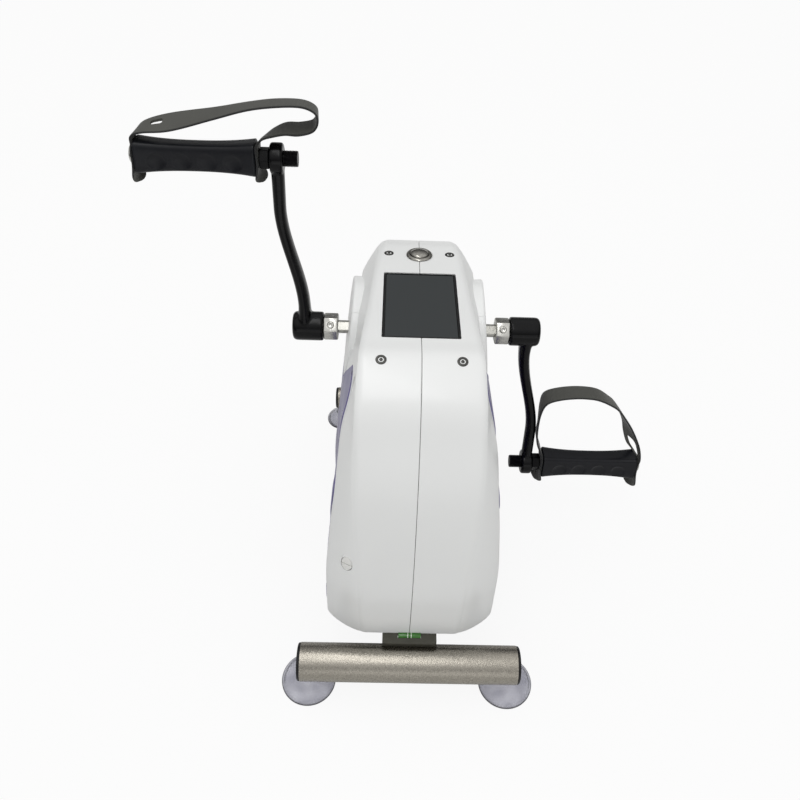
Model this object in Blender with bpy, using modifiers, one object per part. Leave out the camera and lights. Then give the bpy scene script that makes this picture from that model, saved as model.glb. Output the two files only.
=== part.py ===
"""Arm and leg rehabilitation bike: a small motorised pedal trainer that stands on a floor or table.

Units are metres, +Z is up. The user sits on the -Y side and +X is to the right in the user's view.
The origin is on the floor, in the middle of the trainer's footprint.
"""

import math

import bmesh
import bpy
import numpy as np
from mathutils import Matrix, Vector

# Driving dimensions, in metres and degrees
GAP = 0.0003

FRONT_TUBE_RADIUS = 0.019
FRONT_TUBE_LENGTH = 0.222
FRONT_TUBE_HEIGHT = 0.046
REAR_TUBE_RADIUS = 0.0135
REAR_TUBE_LENGTH = 0.188
REAR_TUBE_HEIGHT = 0.042
TUBE_SPACING = 0.352
TUBE_WALL = 0.002
END_CAP_FLANGE = 0.0025
END_CAP_PLUG = 0.012

FRONT_CUP_RADIUS = 0.028
FRONT_CUP_INSET = 0.0085
REAR_CUP_RADIUS = 0.018
REAR_CUP_INSET = 0.0055
CUP_WALL = 0.002
CUP_RIM_WIDTH = 0.003
CUP_NECK_RADIUS = 0.005

BASE_WIDTH = 0.054
BASE_THICKNESS = 0.004
BASE_FLANGE_DEPTH = 0.014
BASE_FRONT_BEHIND = 0.0105
BASE_OVERHANG = 0.006
VIAL_RADIUS = 0.0034
VIAL_LENGTH = 0.023
VIAL_BEHIND = 0.0165

AXLE_BEHIND = 0.266
AXLE_HEIGHT = 0.254
AXLE_RADIUS = 0.0066
CRANK_LENGTH = 0.170
CRANK_TILT = 14.8

SHELL_WALL = 0.0025
CHIN_HEIGHT = 0.146
FRONT_FACE_HEIGHT = 0.261
CROWN_ABOVE_AXLE = 0.0925
WALL_CLIMB = 0.219
WALL_LEVEL_PAST_AXLE = -0.0505
SHOULDER_DEPTH = 0.0244
CROWN_SHOULDER_DEPTH = 0.0362
SCREEN_FALL = 9.75
BACK_WALL_PAST_AXLE = 0.075
SCREEN_TO_BACK_WALL = 0.1765
HEART_BEHIND = 0.190
HEART_HEIGHT = 0.230
SEAM_HALF_GAP = 0.00015

DISPLAY_WIDTH = 0.0672
DISPLAY_LENGTH = 0.1055
DISPLAY_DEPTH = 0.006
GLASS_BORDER = 0.0022
GLASS_THICKNESS = 0.0014

BUTTON_RADIUS = 0.009
BUTTON_BEZEL_RADIUS = 0.013
BUTTON_BARREL_RADIUS = 0.011
BUTTON_BARREL_LENGTH = 0.016
BUTTON_TRAVEL = 0.0025
BUTTON_TO_BACK_WALL = 0.0385

PANEL_SCREW_RADIUS = 0.0048
PANEL_SCREW_SHANK = 0.0018
LOWER_SCREW_OFFSET = 0.0338
LOWER_SCREW_TO_SCREEN = 0.0300
UPPER_SCREW_OFFSET = 0.0300
UPPER_SCREW_TO_BACK_WALL = 0.0360

HUB_COVER_RADIUS = 0.052
HUB_COVER_FACE = 0.0696
HUB_COVER_LEAN = 0.115
HUB_COVER_DEPTH = 0.016
SIDE_PANEL_RISE = 0.0028
SIDE_PANEL_BORDER = 0.004

BEARING_RADIUS = 0.016
BEARING_WIDTH = 0.009
UPRIGHT_OFFSET = 0.0225
UPRIGHT_THICKNESS = 0.004
PULLEY_RADIUS = 0.044
MOTOR_PULLEY_RADIUS = 0.0096
PULLEY_WIDTH = 0.014
BELT_THICKNESS = 0.0016
MOTOR_BEHIND = 0.140
MOTOR_HEIGHT = 0.131
MOTOR_RADIUS = 0.028
MOTOR_LENGTH = 0.052

COLLAR_START = 0.0795
COLLAR_WIDTH = 0.0145
COLLAR_FLATS = 0.0238
SET_SCREW_TILT = 50
BOSS_RADIUS = 0.0147
BOSS_WIDTH = 0.031
ARM_THICKNESS = 0.012
ARM_DEPTH = 0.018
EYE_OFFSET = 0.1316
EYE_RADIUS = 0.0138
PIN_RADIUS = 0.005
PIN_STUB = 0.013
PIN_STUB_RADIUS = 0.0072
PIN_NECK = 0.0025
NUT_FLATS = 0.017
NUT_WIDTH = 0.009
GRIP_LENGTH = 0.1065
GRIP_END_HALF_HEIGHT = 0.0152
GRIP_END_HALF_DEPTH = 0.0135
GRIP_WAIST = 0.80
GRIP_CORNER_POWER = 4.0
GRIP_GROOVES = 4
GRIP_GROOVE_DEPTH = 0.0013
STRAP_WIDTH = 0.024
STRAP_THICKNESS = 0.002
STRAP_TAIL = 0.024
RUNNING_CLEARANCE = 0.0004
CAP_SCREW_RADIUS = 0.008
CAP_SCREW_THICKNESS = 0.0035

# Places that follow from the driving dimensions
FRONT_Y = -(TUBE_SPACING + REAR_CUP_RADIUS - FRONT_CUP_RADIUS) / 2
REAR_Y = FRONT_Y + TUBE_SPACING
BASE_BOTTOM = FRONT_TUBE_HEIGHT + FRONT_TUBE_RADIUS + GAP
BASE_TOP = BASE_BOTTOM + BASE_THICKNESS
SHELL_BOTTOM = BASE_TOP + GAP
AXLE = Vector((0, FRONT_Y + AXLE_BEHIND, AXLE_HEIGHT))
MOTOR = Vector((0, FRONT_Y + MOTOR_BEHIND, MOTOR_HEIGHT))
CROWN_HEIGHT = AXLE_HEIGHT + CROWN_ABOVE_AXLE
BACK_WALL_BEHIND = AXLE_BEHIND + BACK_WALL_PAST_AXLE
SCREEN_BEHIND = BACK_WALL_BEHIND - SCREEN_TO_BACK_WALL
LOWER_SCREW_BEHIND = SCREEN_BEHIND - LOWER_SCREW_TO_SCREEN
BUTTON_BEHIND = BACK_WALL_BEHIND - BUTTON_TO_BACK_WALL
UPPER_SCREW_BEHIND = BACK_WALL_BEHIND - UPPER_SCREW_TO_BACK_WALL
COLLAR_END = COLLAR_START + COLLAR_WIDTH
BOSS_START = COLLAR_END + GAP
BOSS_END = BOSS_START + BOSS_WIDTH
EYE_OUTER = EYE_OFFSET + ARM_THICKNESS / 2
EYE_INNER = EYE_OFFSET - ARM_THICKNESS / 2
NUT_START = EYE_OUTER + GAP
NUT_END = NUT_START + NUT_WIDTH
STRAP_INNER_X = NUT_END + GAP + STRAP_THICKNESS / 2
GRIP_START = STRAP_INNER_X + STRAP_THICKNESS / 2 + GAP
GRIP_END = GRIP_START + GRIP_LENGTH
STRAP_OUTER_X = GRIP_END + GAP + STRAP_THICKNESS / 2
PIN_END = STRAP_OUTER_X + STRAP_THICKNESS / 2 + GAP
X_AXIS = Vector((1, 0, 0))
Y_AXIS = Vector((0, 1, 0))
Z_AXIS = Vector((0, 0, 1))
UPRIGHT_PLANE = Matrix(((0, 0, 1, 0), (1, 0, 0, 0), (0, 1, 0, 0), (0, 0, 0, 1)))

for old in list(bpy.data.objects):
    bpy.data.objects.remove(old, do_unlink=True)

PARTS = bpy.data.collections.new("rehabilitation_bike")
CUTTERS = bpy.data.collections.new("cutters")
bpy.context.scene.collection.children.link(PARTS)
bpy.context.scene.collection.children.link(CUTTERS)
CUTTERS.hide_render = True


def material(name, colour, roughness, metallic=0.0):
    made = bpy.data.materials.new(name)
    made.use_nodes = True
    shader = made.node_tree.nodes["Principled BSDF"]
    shader.inputs["Base Color"].default_value = (*colour, 1)
    shader.inputs["Roughness"].default_value = roughness
    shader.inputs["Metallic"].default_value = metallic
    return made


STAINLESS = material("blasted_stainless_steel", (0.52, 0.50, 0.46), 0.38, 1.0)
DARK_STEEL = material("painted_dark_steel", (0.06, 0.06, 0.055), 0.5, 0.6)
ZINC_STEEL = material("zinc_plated_steel", (0.62, 0.62, 0.60), 0.3, 1.0)
WHITE_ABS = material("glossy_white_abs", (0.80, 0.81, 0.80), 0.2)
PURPLE_ABS = material("purple_abs", (0.11, 0.09, 0.24), 0.35)
BLACK_PLASTIC = material("black_plastic", (0.02, 0.02, 0.022), 0.45)
SCREEN_GLASS = material("screen_glass", (0.05, 0.055, 0.055), 0.08)
CLEAR_PVC = material("clear_pvc", (0.75, 0.76, 0.78), 0.15)
BLACK_ENAMEL = material("black_enamelled_steel", (0.01, 0.01, 0.012), 0.22, 0.3)
GRIP_RUBBER = material("matt_black_rubber", (0.02, 0.021, 0.025), 0.6)
STRAP_RUBBER = material("dark_grey_rubber", (0.07, 0.07, 0.065), 0.7)
VIAL_GREEN = material("green_vial", (0.05, 0.17, 0.03), 0.1)
BOARD_GREEN = material("green_circuit_board", (0.02, 0.14, 0.05), 0.5)


def in_collection(obj, collection):
    collection.objects.link(obj)
    if collection is CUTTERS:
        obj.hide_render = True
        obj.display_type = "WIRE"
    return obj


def mesh_object(name, bm, surface=None, collection=PARTS):
    """An object from a bmesh, with its normals outwards and flat faces kept sharp."""
    bmesh.ops.recalc_face_normals(bm, faces=bm.faces[:])
    mesh = bpy.data.meshes.new(name)
    bm.to_mesh(mesh)
    bm.free()
    mesh.shade_smooth()
    mesh.set_sharp_from_angle(angle=math.radians(35))
    if surface:
        mesh.materials.append(surface)
    return in_collection(bpy.data.objects.new(name, mesh), collection)


def along(start, direction):
    """The matrix that takes the origin to start and +Z to direction."""
    turn = Vector(direction).to_track_quat("Z", "Y").to_matrix().to_4x4()
    return Matrix.Translation(start) @ turn


def cylinder(name, radius, start, end, surface=None, sides=20, collection=PARTS):
    start = Vector(start)
    length = (Vector(end) - start).length
    bm = bmesh.new()
    bmesh.ops.create_cone(
        bm, cap_ends=True, segments=sides, radius1=radius, radius2=radius, depth=length
    )
    bmesh.ops.translate(bm, verts=bm.verts[:], vec=(0, 0, length / 2))
    obj = mesh_object(name, bm, surface, collection)
    obj.matrix_world = along(start, Vector(end) - start)
    return obj


def box(name, size, centre, surface=None, collection=PARTS, bevel=0.0):
    bm = bmesh.new()
    bmesh.ops.create_cube(bm, size=1)
    bmesh.ops.scale(bm, vec=size, verts=bm.verts[:])
    obj = mesh_object(name, bm, surface, collection)
    obj.matrix_world = Matrix.Translation(centre)
    if bevel:
        rounded = obj.modifiers.new("rounded_edges", "BEVEL")
        rounded.width = bevel
        rounded.segments = 2
    return obj


def turned(name, profile, start, direction, surface=None, sides=20, collection=PARTS, closed=False):
    """A turned piece: the profile's (radius, height) points run down its outer side, from the top."""
    mesh = bpy.data.meshes.new(name)
    count = len(profile)
    edges = [(i, i + 1) for i in range(count - 1)]
    if closed:
        edges.append((count - 1, 0))
    mesh.from_pydata([(radius, 0, height) for radius, height in profile], edges, [])
    if surface:
        mesh.materials.append(surface)
    obj = in_collection(bpy.data.objects.new(name, mesh), collection)
    spun = obj.modifiers.new("turning", "SCREW")
    spun.steps = sides
    spun.render_steps = sides
    spun.use_merge_vertices = True
    spun.merge_threshold = 0.00001
    spun.use_smooth_shade = False
    obj.matrix_world = along(start, direction)
    return obj


def as_mesh(obj):
    """The object with its curve or its modifiers turned into one welded mesh, still in its place."""
    bpy.context.view_layer.update()
    graph = bpy.context.evaluated_depsgraph_get()
    mesh = bpy.data.meshes.new_from_object(obj.evaluated_get(graph))
    bm = bmesh.new()
    bm.from_mesh(mesh)
    bmesh.ops.remove_doubles(bm, verts=bm.verts[:], dist=0.000001)
    bm.to_mesh(mesh)
    bm.free()
    made = bpy.data.objects.new(obj.name, mesh)
    made.matrix_world = obj.matrix_world
    home = obj.users_collection[0]
    name = obj.name
    bpy.data.objects.remove(obj, do_unlink=True)
    made.name = name
    return in_collection(made, home)


def lofted(name, rings, surface=None, collection=PARTS):
    """A closed body through rings of equally many points, with a flat cap at each end."""
    bm = bmesh.new()
    grid = [[bm.verts.new([float(c) for c in point]) for point in ring] for ring in rings]
    for low, high in zip(grid[:-1], grid[1:]):
        for i in range(len(low)):
            j = (i + 1) % len(low)
            bm.faces.new((low[i], low[j], high[j], high[i]))
    bm.faces.new(grid[0])
    bm.faces.new(list(reversed(grid[-1])))
    return mesh_object(name, bm, surface, collection)


def walled(name, rings, surface=None, collection=PARTS):
    """A closed body through arches that stand on one level: flat at the first one and at the bottom.

    The last arch is slender. Low down it is closed by strips from its front to its back, and at the
    top by one face.
    """
    bm = bmesh.new()
    grid = [[bm.verts.new([float(c) for c in point]) for point in ring] for ring in rings]
    for low, high in zip(grid[:-1], grid[1:]):
        for i in range(len(low) - 1):
            bm.faces.new((low[i], low[i + 1], high[i + 1], high[i]))
    bm.faces.new(grid[0])
    bm.faces.new([ring[0] for ring in grid] + [ring[-1] for ring in reversed(grid)])
    edge = grid[-1]
    strips = len(edge) // 4
    for i in range(strips):
        bm.faces.new((edge[i], edge[i + 1], edge[-2 - i], edge[-1 - i]))
    bm.faces.new(edge[strips:-strips])
    quads = [face for face in bm.faces if len(face.verts) == 4]
    bmesh.ops.triangulate(bm, faces=quads, quad_method="FIXED")
    return mesh_object(name, bm, surface, collection)


def combine(obj, other, operation="DIFFERENCE"):
    step = obj.modifiers.new(other.name, "BOOLEAN")
    step.operation = operation
    step.solver = "EXACT"
    step.object = other
    return obj


def flat_outline(name, loops, thickness, surface=None, collection=PARTS):
    """A plate lying in XY from closed outlines: the first is its edge and the others are holes."""
    curve = bpy.data.curves.new(name, "CURVE")
    curve.dimensions = "2D"
    curve.fill_mode = "BOTH"
    curve.extrude = thickness / 2
    for loop in loops:
        spline = curve.splines.new("POLY")
        spline.points.add(len(loop) - 1)
        for point, (x, y) in zip(spline.points, loop):
            point.co = (x, y, 0, 1)
        spline.use_cyclic_u = True
    if surface:
        curve.materials.append(surface)
    return in_collection(bpy.data.objects.new(name, curve), collection)


def arc(centre, radius, first, last, steps):
    """Points of an arc in the plane, between two angles in degrees."""
    angles = np.radians(np.linspace(first, last, steps))
    return [(centre[0] + radius * math.cos(a), centre[1] + radius * math.sin(a)) for a in angles]


def smooth_through(points, per_span):
    """A Catmull-Rom curve through the rows of points, with per_span samples between two rows."""
    points = np.asarray(points, float)
    ends = np.vstack([2 * points[0] - points[1], points, 2 * points[-1] - points[-2]])
    t = np.linspace(0, 1, per_span, endpoint=False)[:, None]
    spans = []
    for a, b, c, d in zip(ends[:-3], ends[1:-2], ends[2:-1], ends[3:]):
        cubic = 2 * b + (c - a) * t + (2 * a - 5 * b + 4 * c - d) * t**2 + (3 * b - a - 3 * c + d) * t**3
        spans.append(cubic / 2)
    return np.vstack([*spans, points[-1:]])


SIDES = (("left", -1), ("right", 1))


# Crossbars, with their end caps and suction cups
def crossbar(prefix, y, height, radius, length):
    """A hollow tube across the trainer, with a plug that closes each end."""
    half = length / 2 - END_CAP_FLANGE - GAP
    bore = radius - TUBE_WALL
    profile = [(radius, half), (radius, -half), (bore, -half), (bore, half)]
    turned(f"{prefix}_crossbar", profile, (0, y, height), X_AXIS, STAINLESS, 36, closed=True)
    edge = 0.0008
    for side, sign in SIDES:
        plug = [
            (0, END_CAP_FLANGE),
            (radius - 2 * edge, END_CAP_FLANGE),
            (radius - edge, 0),
            (bore - GAP, 0),
            (bore - GAP, -END_CAP_PLUG),
            (0, -END_CAP_PLUG),
        ]
        start = (sign * (length / 2 - END_CAP_FLANGE), y, height)
        turned(f"{prefix}_end_cap_{side}", plug, start, sign * X_AXIS, BLACK_PLASTIC)


def suction_cup(name, x, y, radius, top):
    """A moulded cup: a thin skirt on the floor, a domed body and a neck that reaches the tube."""
    dome = top * 0.52
    inner = radius - CUP_RIM_WIDTH
    profile = [
        (0, top),
        (CUP_NECK_RADIUS, top),
        (CUP_NECK_RADIUS, dome + 0.001),
        (radius * 0.5, dome - 0.0015),
        (radius * 0.82, dome * 0.45),
        (radius, 0.0014),
        (radius, 0),
        (inner, 0),
        (radius * 0.5, dome - 0.0015 - CUP_WALL),
        (0, dome - CUP_WALL),
    ]
    turned(name, profile, (x, y, 0), Z_AXIS, CLEAR_PVC)


crossbar("front", FRONT_Y, FRONT_TUBE_HEIGHT, FRONT_TUBE_RADIUS, FRONT_TUBE_LENGTH)
crossbar("rear", REAR_Y, REAR_TUBE_HEIGHT, REAR_TUBE_RADIUS, REAR_TUBE_LENGTH)
for side, sign in SIDES:
    suction_cup(
        f"front_suction_cup_{side}", sign * (FRONT_TUBE_LENGTH / 2 - FRONT_CUP_INSET), FRONT_Y,
        FRONT_CUP_RADIUS, FRONT_TUBE_HEIGHT - FRONT_TUBE_RADIUS - GAP,
    )
    suction_cup(
        f"rear_suction_cup_{side}", sign * (REAR_TUBE_LENGTH / 2 - REAR_CUP_INSET), REAR_Y,
        REAR_CUP_RADIUS, REAR_TUBE_HEIGHT - REAR_TUBE_RADIUS - GAP,
    )


# Steel base channel that joins the crossbars, and the spirit level let into it
def base_channel():
    front = FRONT_Y + BASE_FRONT_BEHIND
    back = REAR_Y + BASE_OVERHANG
    middle = (front + back) / 2
    channel = box(
        "base_channel", (BASE_WIDTH, back - front, BASE_THICKNESS),
        (0, middle, BASE_BOTTOM + BASE_THICKNESS / 2), DARK_STEEL,
    )
    web_front = front
    web_back = REAR_Y - REAR_TUBE_RADIUS - 2 * GAP
    for side, sign in SIDES:
        web = box(
            f"channel_web_{side}",
            (BASE_THICKNESS, web_back - web_front, BASE_FLANGE_DEPTH + BASE_THICKNESS / 2),
            (
                sign * (BASE_WIDTH - BASE_THICKNESS) / 2,
                (web_front + web_back) / 2,
                BASE_BOTTOM - BASE_FLANGE_DEPTH / 2 + BASE_THICKNESS / 4,
            ),
            collection=CUTTERS,
        )
        combine(channel, web, "UNION")
    lip = box(
        "channel_lip", (BASE_WIDTH - BASE_THICKNESS, 0.003, 0.010 + BASE_THICKNESS / 2),
        (0, front + 0.0015, BASE_BOTTOM - 0.005 + BASE_THICKNESS / 4), collection=CUTTERS,
    )
    combine(channel, lip, "UNION")
    mouth = cylinder(
        "tube_mouth", FRONT_TUBE_RADIUS + GAP, (-BASE_WIDTH, FRONT_Y, FRONT_TUBE_HEIGHT),
        (BASE_WIDTH, FRONT_Y, FRONT_TUBE_HEIGHT), collection=CUTTERS, sides=48,
    )
    combine(channel, mouth)
    half = VIAL_LENGTH / 2 + GAP
    y = FRONT_Y + VIAL_BEHIND
    seat = cylinder(
        "vial_seat", VIAL_RADIUS + GAP, (-half, y, BASE_TOP - 0.001), (half, y, BASE_TOP - 0.001),
        collection=CUTTERS,
    )
    combine(channel, seat)
    cylinder(
        "spirit_level_vial", VIAL_RADIUS, (-VIAL_LENGTH / 2, y, BASE_TOP - 0.001),
        (VIAL_LENGTH / 2, y, BASE_TOP - 0.001), VIAL_GREEN,
    )
    saddle_bottom = REAR_TUBE_HEIGHT + REAR_TUBE_RADIUS * 0.6
    saddle = box(
        "rear_saddle", (BASE_WIDTH, REAR_TUBE_RADIUS * 1.6, BASE_BOTTOM - GAP - saddle_bottom),
        (0, REAR_Y, (BASE_BOTTOM - GAP + saddle_bottom) / 2), DARK_STEEL,
    )
    bed = cylinder(
        "saddle_bed", REAR_TUBE_RADIUS + GAP, (-BASE_WIDTH, REAR_Y, REAR_TUBE_HEIGHT),
        (BASE_WIDTH, REAR_Y, REAR_TUBE_HEIGHT), collection=CUTTERS, sides=36,
    )
    combine(saddle, bed)


base_channel()


# Moulded housing: two half shells that meet on the centre plane
def housing_knots():
    """The housing's side outline from its front foot, over the crown, to its back foot.

    Each row is the distance behind the front crossbar, the height, and the half width of the
    middle strip of the housing at that place.
    """
    fall = math.tan(math.radians(SCREEN_FALL))
    screen_top = SCREEN_BEHIND + DISPLAY_LENGTH * math.cos(math.radians(SCREEN_FALL))
    start = CROWN_HEIGHT - 0.0035

    def slope_height(behind):
        return start - (behind - SCREEN_BEHIND) * fall

    middle = (SCREEN_BEHIND + screen_top) / 2
    rear_edge = BACK_WALL_BEHIND - 0.0045
    return [
        (0.0215, SHELL_BOTTOM, 0.0490),
        (0.0240, SHELL_BOTTOM + 0.04, 0.0505),
        (0.0265, CHIN_HEIGHT, 0.0510),
        (0.0370, CHIN_HEIGHT + 0.058, 0.0525),
        (0.0545, FRONT_FACE_HEIGHT, 0.0550),
        (0.0760, FRONT_FACE_HEIGHT + 0.040, 0.0550),
        (0.1010, CROWN_HEIGHT - 0.016, 0.0545),
        (LOWER_SCREW_BEHIND, CROWN_HEIGHT, 0.0530),
        (SCREEN_BEHIND, slope_height(SCREEN_BEHIND), 0.0515),
        (middle, slope_height(middle), 0.0475),
        (screen_top, slope_height(screen_top), 0.0435),
        (BUTTON_BEHIND, slope_height(BUTTON_BEHIND) - 0.0012, 0.0405),
        (rear_edge - 0.0115, slope_height(rear_edge - 0.0115) - 0.0040, 0.0370),
        (rear_edge, slope_height(rear_edge) - 0.0145, 0.0360),
        (BACK_WALL_BEHIND - 0.0005, slope_height(BACK_WALL_BEHIND) - 0.0420, 0.0380),
        (BACK_WALL_BEHIND, CHIN_HEIGHT, 0.0480),
        (BACK_WALL_BEHIND, SHELL_BOTTOM, 0.0500),
    ]


def side_outline(offset, per_span):
    """Rows of y, z and strip half width along the housing's outline, moved inwards by offset."""
    rows = smooth_through(housing_knots(), per_span)
    rows[:, 1] = np.maximum(rows[:, 1], SHELL_BOTTOM)
    ahead = np.vstack([rows[1:], rows[-1:]])
    behind = np.vstack([rows[:1], rows[:-1]])
    run = (ahead - behind)[:, :2]
    run /= np.linalg.norm(run, axis=1)[:, None]
    run[0] = (0, 1)
    run[-1] = (0, -1)
    inward = np.stack([run[:, 1], -run[:, 0]], axis=1)
    rows[:, :2] += offset * inward
    rows[:, 0] += FRONT_Y
    return rows


def towards_heart(y, z):
    """Unit steps in y and z from outline points towards the housing's middle line, and its distance."""
    to_y = FRONT_Y + HEART_BEHIND - y
    to_z = np.clip(z, SHELL_BOTTOM, HEART_HEIGHT) - z
    away = np.hypot(to_y, to_z)
    return to_y / away, to_z / away, away


def wall_x(y, z):
    """Half width of the side wall: it leans in towards the top, more so above the axle.

    Its level lines climb to the front, so the housing is widest low down in front.
    """
    curve = smooth_through([
        (-0.204, 0.0832),
        (-0.144, 0.0818),
        (-0.108, 0.0789),
        (-0.074, 0.0757),
        (-0.039, 0.0717),
        (0.000, 0.0679),
        (0.030, 0.0598),
        (0.060, 0.0555),
        (0.106, 0.0445),
    ], 6)
    level = z - AXLE.z + WALL_CLIMB * (y - AXLE.y - WALL_LEVEL_PAST_AXLE)
    return np.interp(level, curve[:, 0], curve[:, 1])


def housing_half(name, sign, offset, per_span, collection=PARTS, seam=SEAM_HALF_GAP, drop=0.0):
    """A closed half of the housing's form: strip, soft crease, shoulder and side wall.

    The shoulder is round in front and turns into a steep chamfer towards the crown.
    """
    y, z, strip = side_outline(offset, per_span).T
    step_y, step_z, away = towards_heart(y, z)
    top = np.clip((z - FRONT_FACE_HEIGHT) / (CROWN_HEIGHT - FRONT_FACE_HEIGHT), 0, 1)
    depth = SHOULDER_DEPTH + (CROWN_SHOULDER_DEPTH - SHOULDER_DEPTH) * top**0.7
    rings = [(np.full_like(y, seam), y, z), (strip - 0.003, y, z)]
    for a in np.linspace(0, 1, 5):
        inset = depth * (0.06 + 0.40 * a + 0.54 * (1 - math.cos(a * math.pi / 2)))
        yy = y + step_y * inset
        zz = z + step_z * inset
        ease = math.sin(a * math.pi / 2) * (1 - top) + a**0.75 * top
        rings.append((strip + (wall_x(yy, zz) - offset - strip) * ease, yy, zz))
    for part in (0.3, 0.6, 0.9):
        inset = depth + (away - depth) * part
        yy = y + step_y * inset
        zz = z + step_z * inset
        rings.append((wall_x(yy, zz) - offset, yy, zz))
    closed = []
    for x, yy, zz in rings:
        ring = list(zip(sign * x, yy, zz))
        if drop:
            low, high = ((u, v, w - drop) for u, v, w in (ring[0], ring[-1]))
            ring = [low, *ring, high]
        closed.append(ring)
    return walled(name, closed, WHITE_ABS, collection)


def outline_height(y):
    """Height of the housing's crown line above a given y."""
    rows = side_outline(0, 6)
    top = rows[rows[:, 1] > FRONT_FACE_HEIGHT]
    order = np.argsort(top[:, 0])
    return float(np.interp(y, top[order, 0], top[order, 1]))


def panel_place(behind, x=0.0):
    """The matrix of a seat on the top panel: +Z leaves the panel and +Y climbs towards the back."""
    y = FRONT_Y + behind
    step = 0.004
    rise = outline_height(y + step) - outline_height(y - step)
    lean = math.atan2(rise, 2 * step)
    return Matrix.Translation((x, y, outline_height(y))) @ Matrix.Rotation(lean, 4, "X")


DISPLAY_PLACE = panel_place(SCREEN_BEHIND + DISPLAY_LENGTH / 2 * math.cos(math.radians(SCREEN_FALL)))
BUTTON_PLACE = panel_place(BUTTON_BEHIND)
SCREW_PLACES = {
    f"{row}_panel_screw_{side}": panel_place(behind, sign * offset)
    for row, behind, offset in (
        ("lower", LOWER_SCREW_BEHIND, LOWER_SCREW_OFFSET),
        ("upper", UPPER_SCREW_BEHIND, UPPER_SCREW_OFFSET),
    )
    for side, sign in SIDES
}
SHELL_SCREWS = {"upper": (0.1295, 0.3185), "lower": (0.0395, 0.1760)}
SHELL_SCREW_HEAD = 0.0040
SHELL_SCREW_SHANK = 0.0018
SHELL_BOSS = 0.0068
SHELL_SCREW_SEAT = 0.046
SHELL_SCREW_REACH = 0.022
HUB_HOLE_RADIUS = 0.020
INLET_RADIUS = 0.0060
INLET_X = -0.030
INLET_HEIGHT = 0.105


def hole_through(name, place, radius, sides):
    """A cutter along a seat's own +Z, long enough to pass the housing's wall."""
    reach = 5 * SHELL_WALL
    low = place @ Vector((0, 0, -reach))
    return cylinder(name, radius, low, place @ Vector((0, 0, reach)), sides=sides, collection=CUTTERS)


def shell_cutters():
    """The openings that both half shells share."""
    window = box(
        "display_window", (DISPLAY_WIDTH + 2 * GAP, DISPLAY_LENGTH + 2 * GAP, 0.03), (0, 0, 0),
        collection=CUTTERS,
    )
    window.matrix_world = DISPLAY_PLACE
    return [window, hole_through("button_hole", BUTTON_PLACE, BUTTON_BARREL_RADIUS + GAP, 24)]


def half_shell(side, sign, shared):
    shell = housing_half(f"{side}_housing_shell", sign, 0.0, 2)
    hollow = housing_half(
        f"{side}_hollow", sign, SHELL_WALL, 2, CUTTERS, seam=-0.001, drop=0.01
    )
    cuts = []
    for row, (behind, height) in SHELL_SCREWS.items():
        y = FRONT_Y + behind
        boss = cylinder(
            f"{side}_{row}_boss", SHELL_BOSS, (sign * SEAM_HALF_GAP, y, height), (sign * 0.09, y, height),
            sides=16, collection=CUTTERS,
        )
        combine(hollow, boss)
        bore = cylinder(
            f"{side}_{row}_bore", SHELL_SCREW_SHANK + GAP, (-SHELL_SCREW_SEAT - 0.01, y, height),
            (SHELL_SCREW_REACH, y, height), sides=12, collection=CUTTERS,
        )
        seat = cylinder(
            f"{side}_{row}_counterbore", SHELL_SCREW_HEAD + GAP, (-SHELL_SCREW_SEAT, y, height),
            (-0.1, y, height), sides=16, collection=CUTTERS,
        )
        cuts.append(bore)
        if side == "left":
            cuts.append(seat)
    for cutter in [hollow, *cuts, *shared]:
        combine(shell, cutter)
    for name, place in SCREW_PLACES.items():
        if name.endswith(side):
            combine(shell, hole_through(f"{name}_hole", place, PANEL_SCREW_SHANK + GAP, 12))
    hub = cylinder(
        f"{side}_hub_hole", HUB_HOLE_RADIUS, (sign * 0.03, AXLE.y, AXLE.z), (sign * 0.1, AXLE.y, AXLE.z),
        collection=CUTTERS,
    )
    combine(shell, hub)
    if side == "left":
        inlet = cylinder(
            "inlet_hole", INLET_RADIUS + GAP, (INLET_X, FRONT_Y + BACK_WALL_BEHIND - 0.02, INLET_HEIGHT),
            (INLET_X, FRONT_Y + BACK_WALL_BEHIND + 0.02, INLET_HEIGHT), collection=CUTTERS,
        )
        combine(shell, inlet)


SHARED = shell_cutters()
for side, sign in SIDES:
    half_shell(side, sign, SHARED)


def shell_screws():
    """Long screws that pull the two half shells together inside their moulded bosses."""
    for row, (behind, height) in SHELL_SCREWS.items():
        y = FRONT_Y + behind
        shank = SHELL_SCREW_SEAT + SHELL_SCREW_REACH - 3 * GAP
        profile = [
            (0, 0.0024),
            (SHELL_SCREW_HEAD * 0.6, 0.0022),
            (SHELL_SCREW_HEAD, 0.0010),
            (SHELL_SCREW_HEAD, 0),
            (SHELL_SCREW_SHANK, 0),
            (SHELL_SCREW_SHANK, -shank),
            (0, -shank),
        ]
        start = (-SHELL_SCREW_SEAT - GAP, y, height)
        turned(f"{row}_shell_screw", profile, start, -X_AXIS, ZINC_STEEL, sides=12)


shell_screws()


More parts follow.
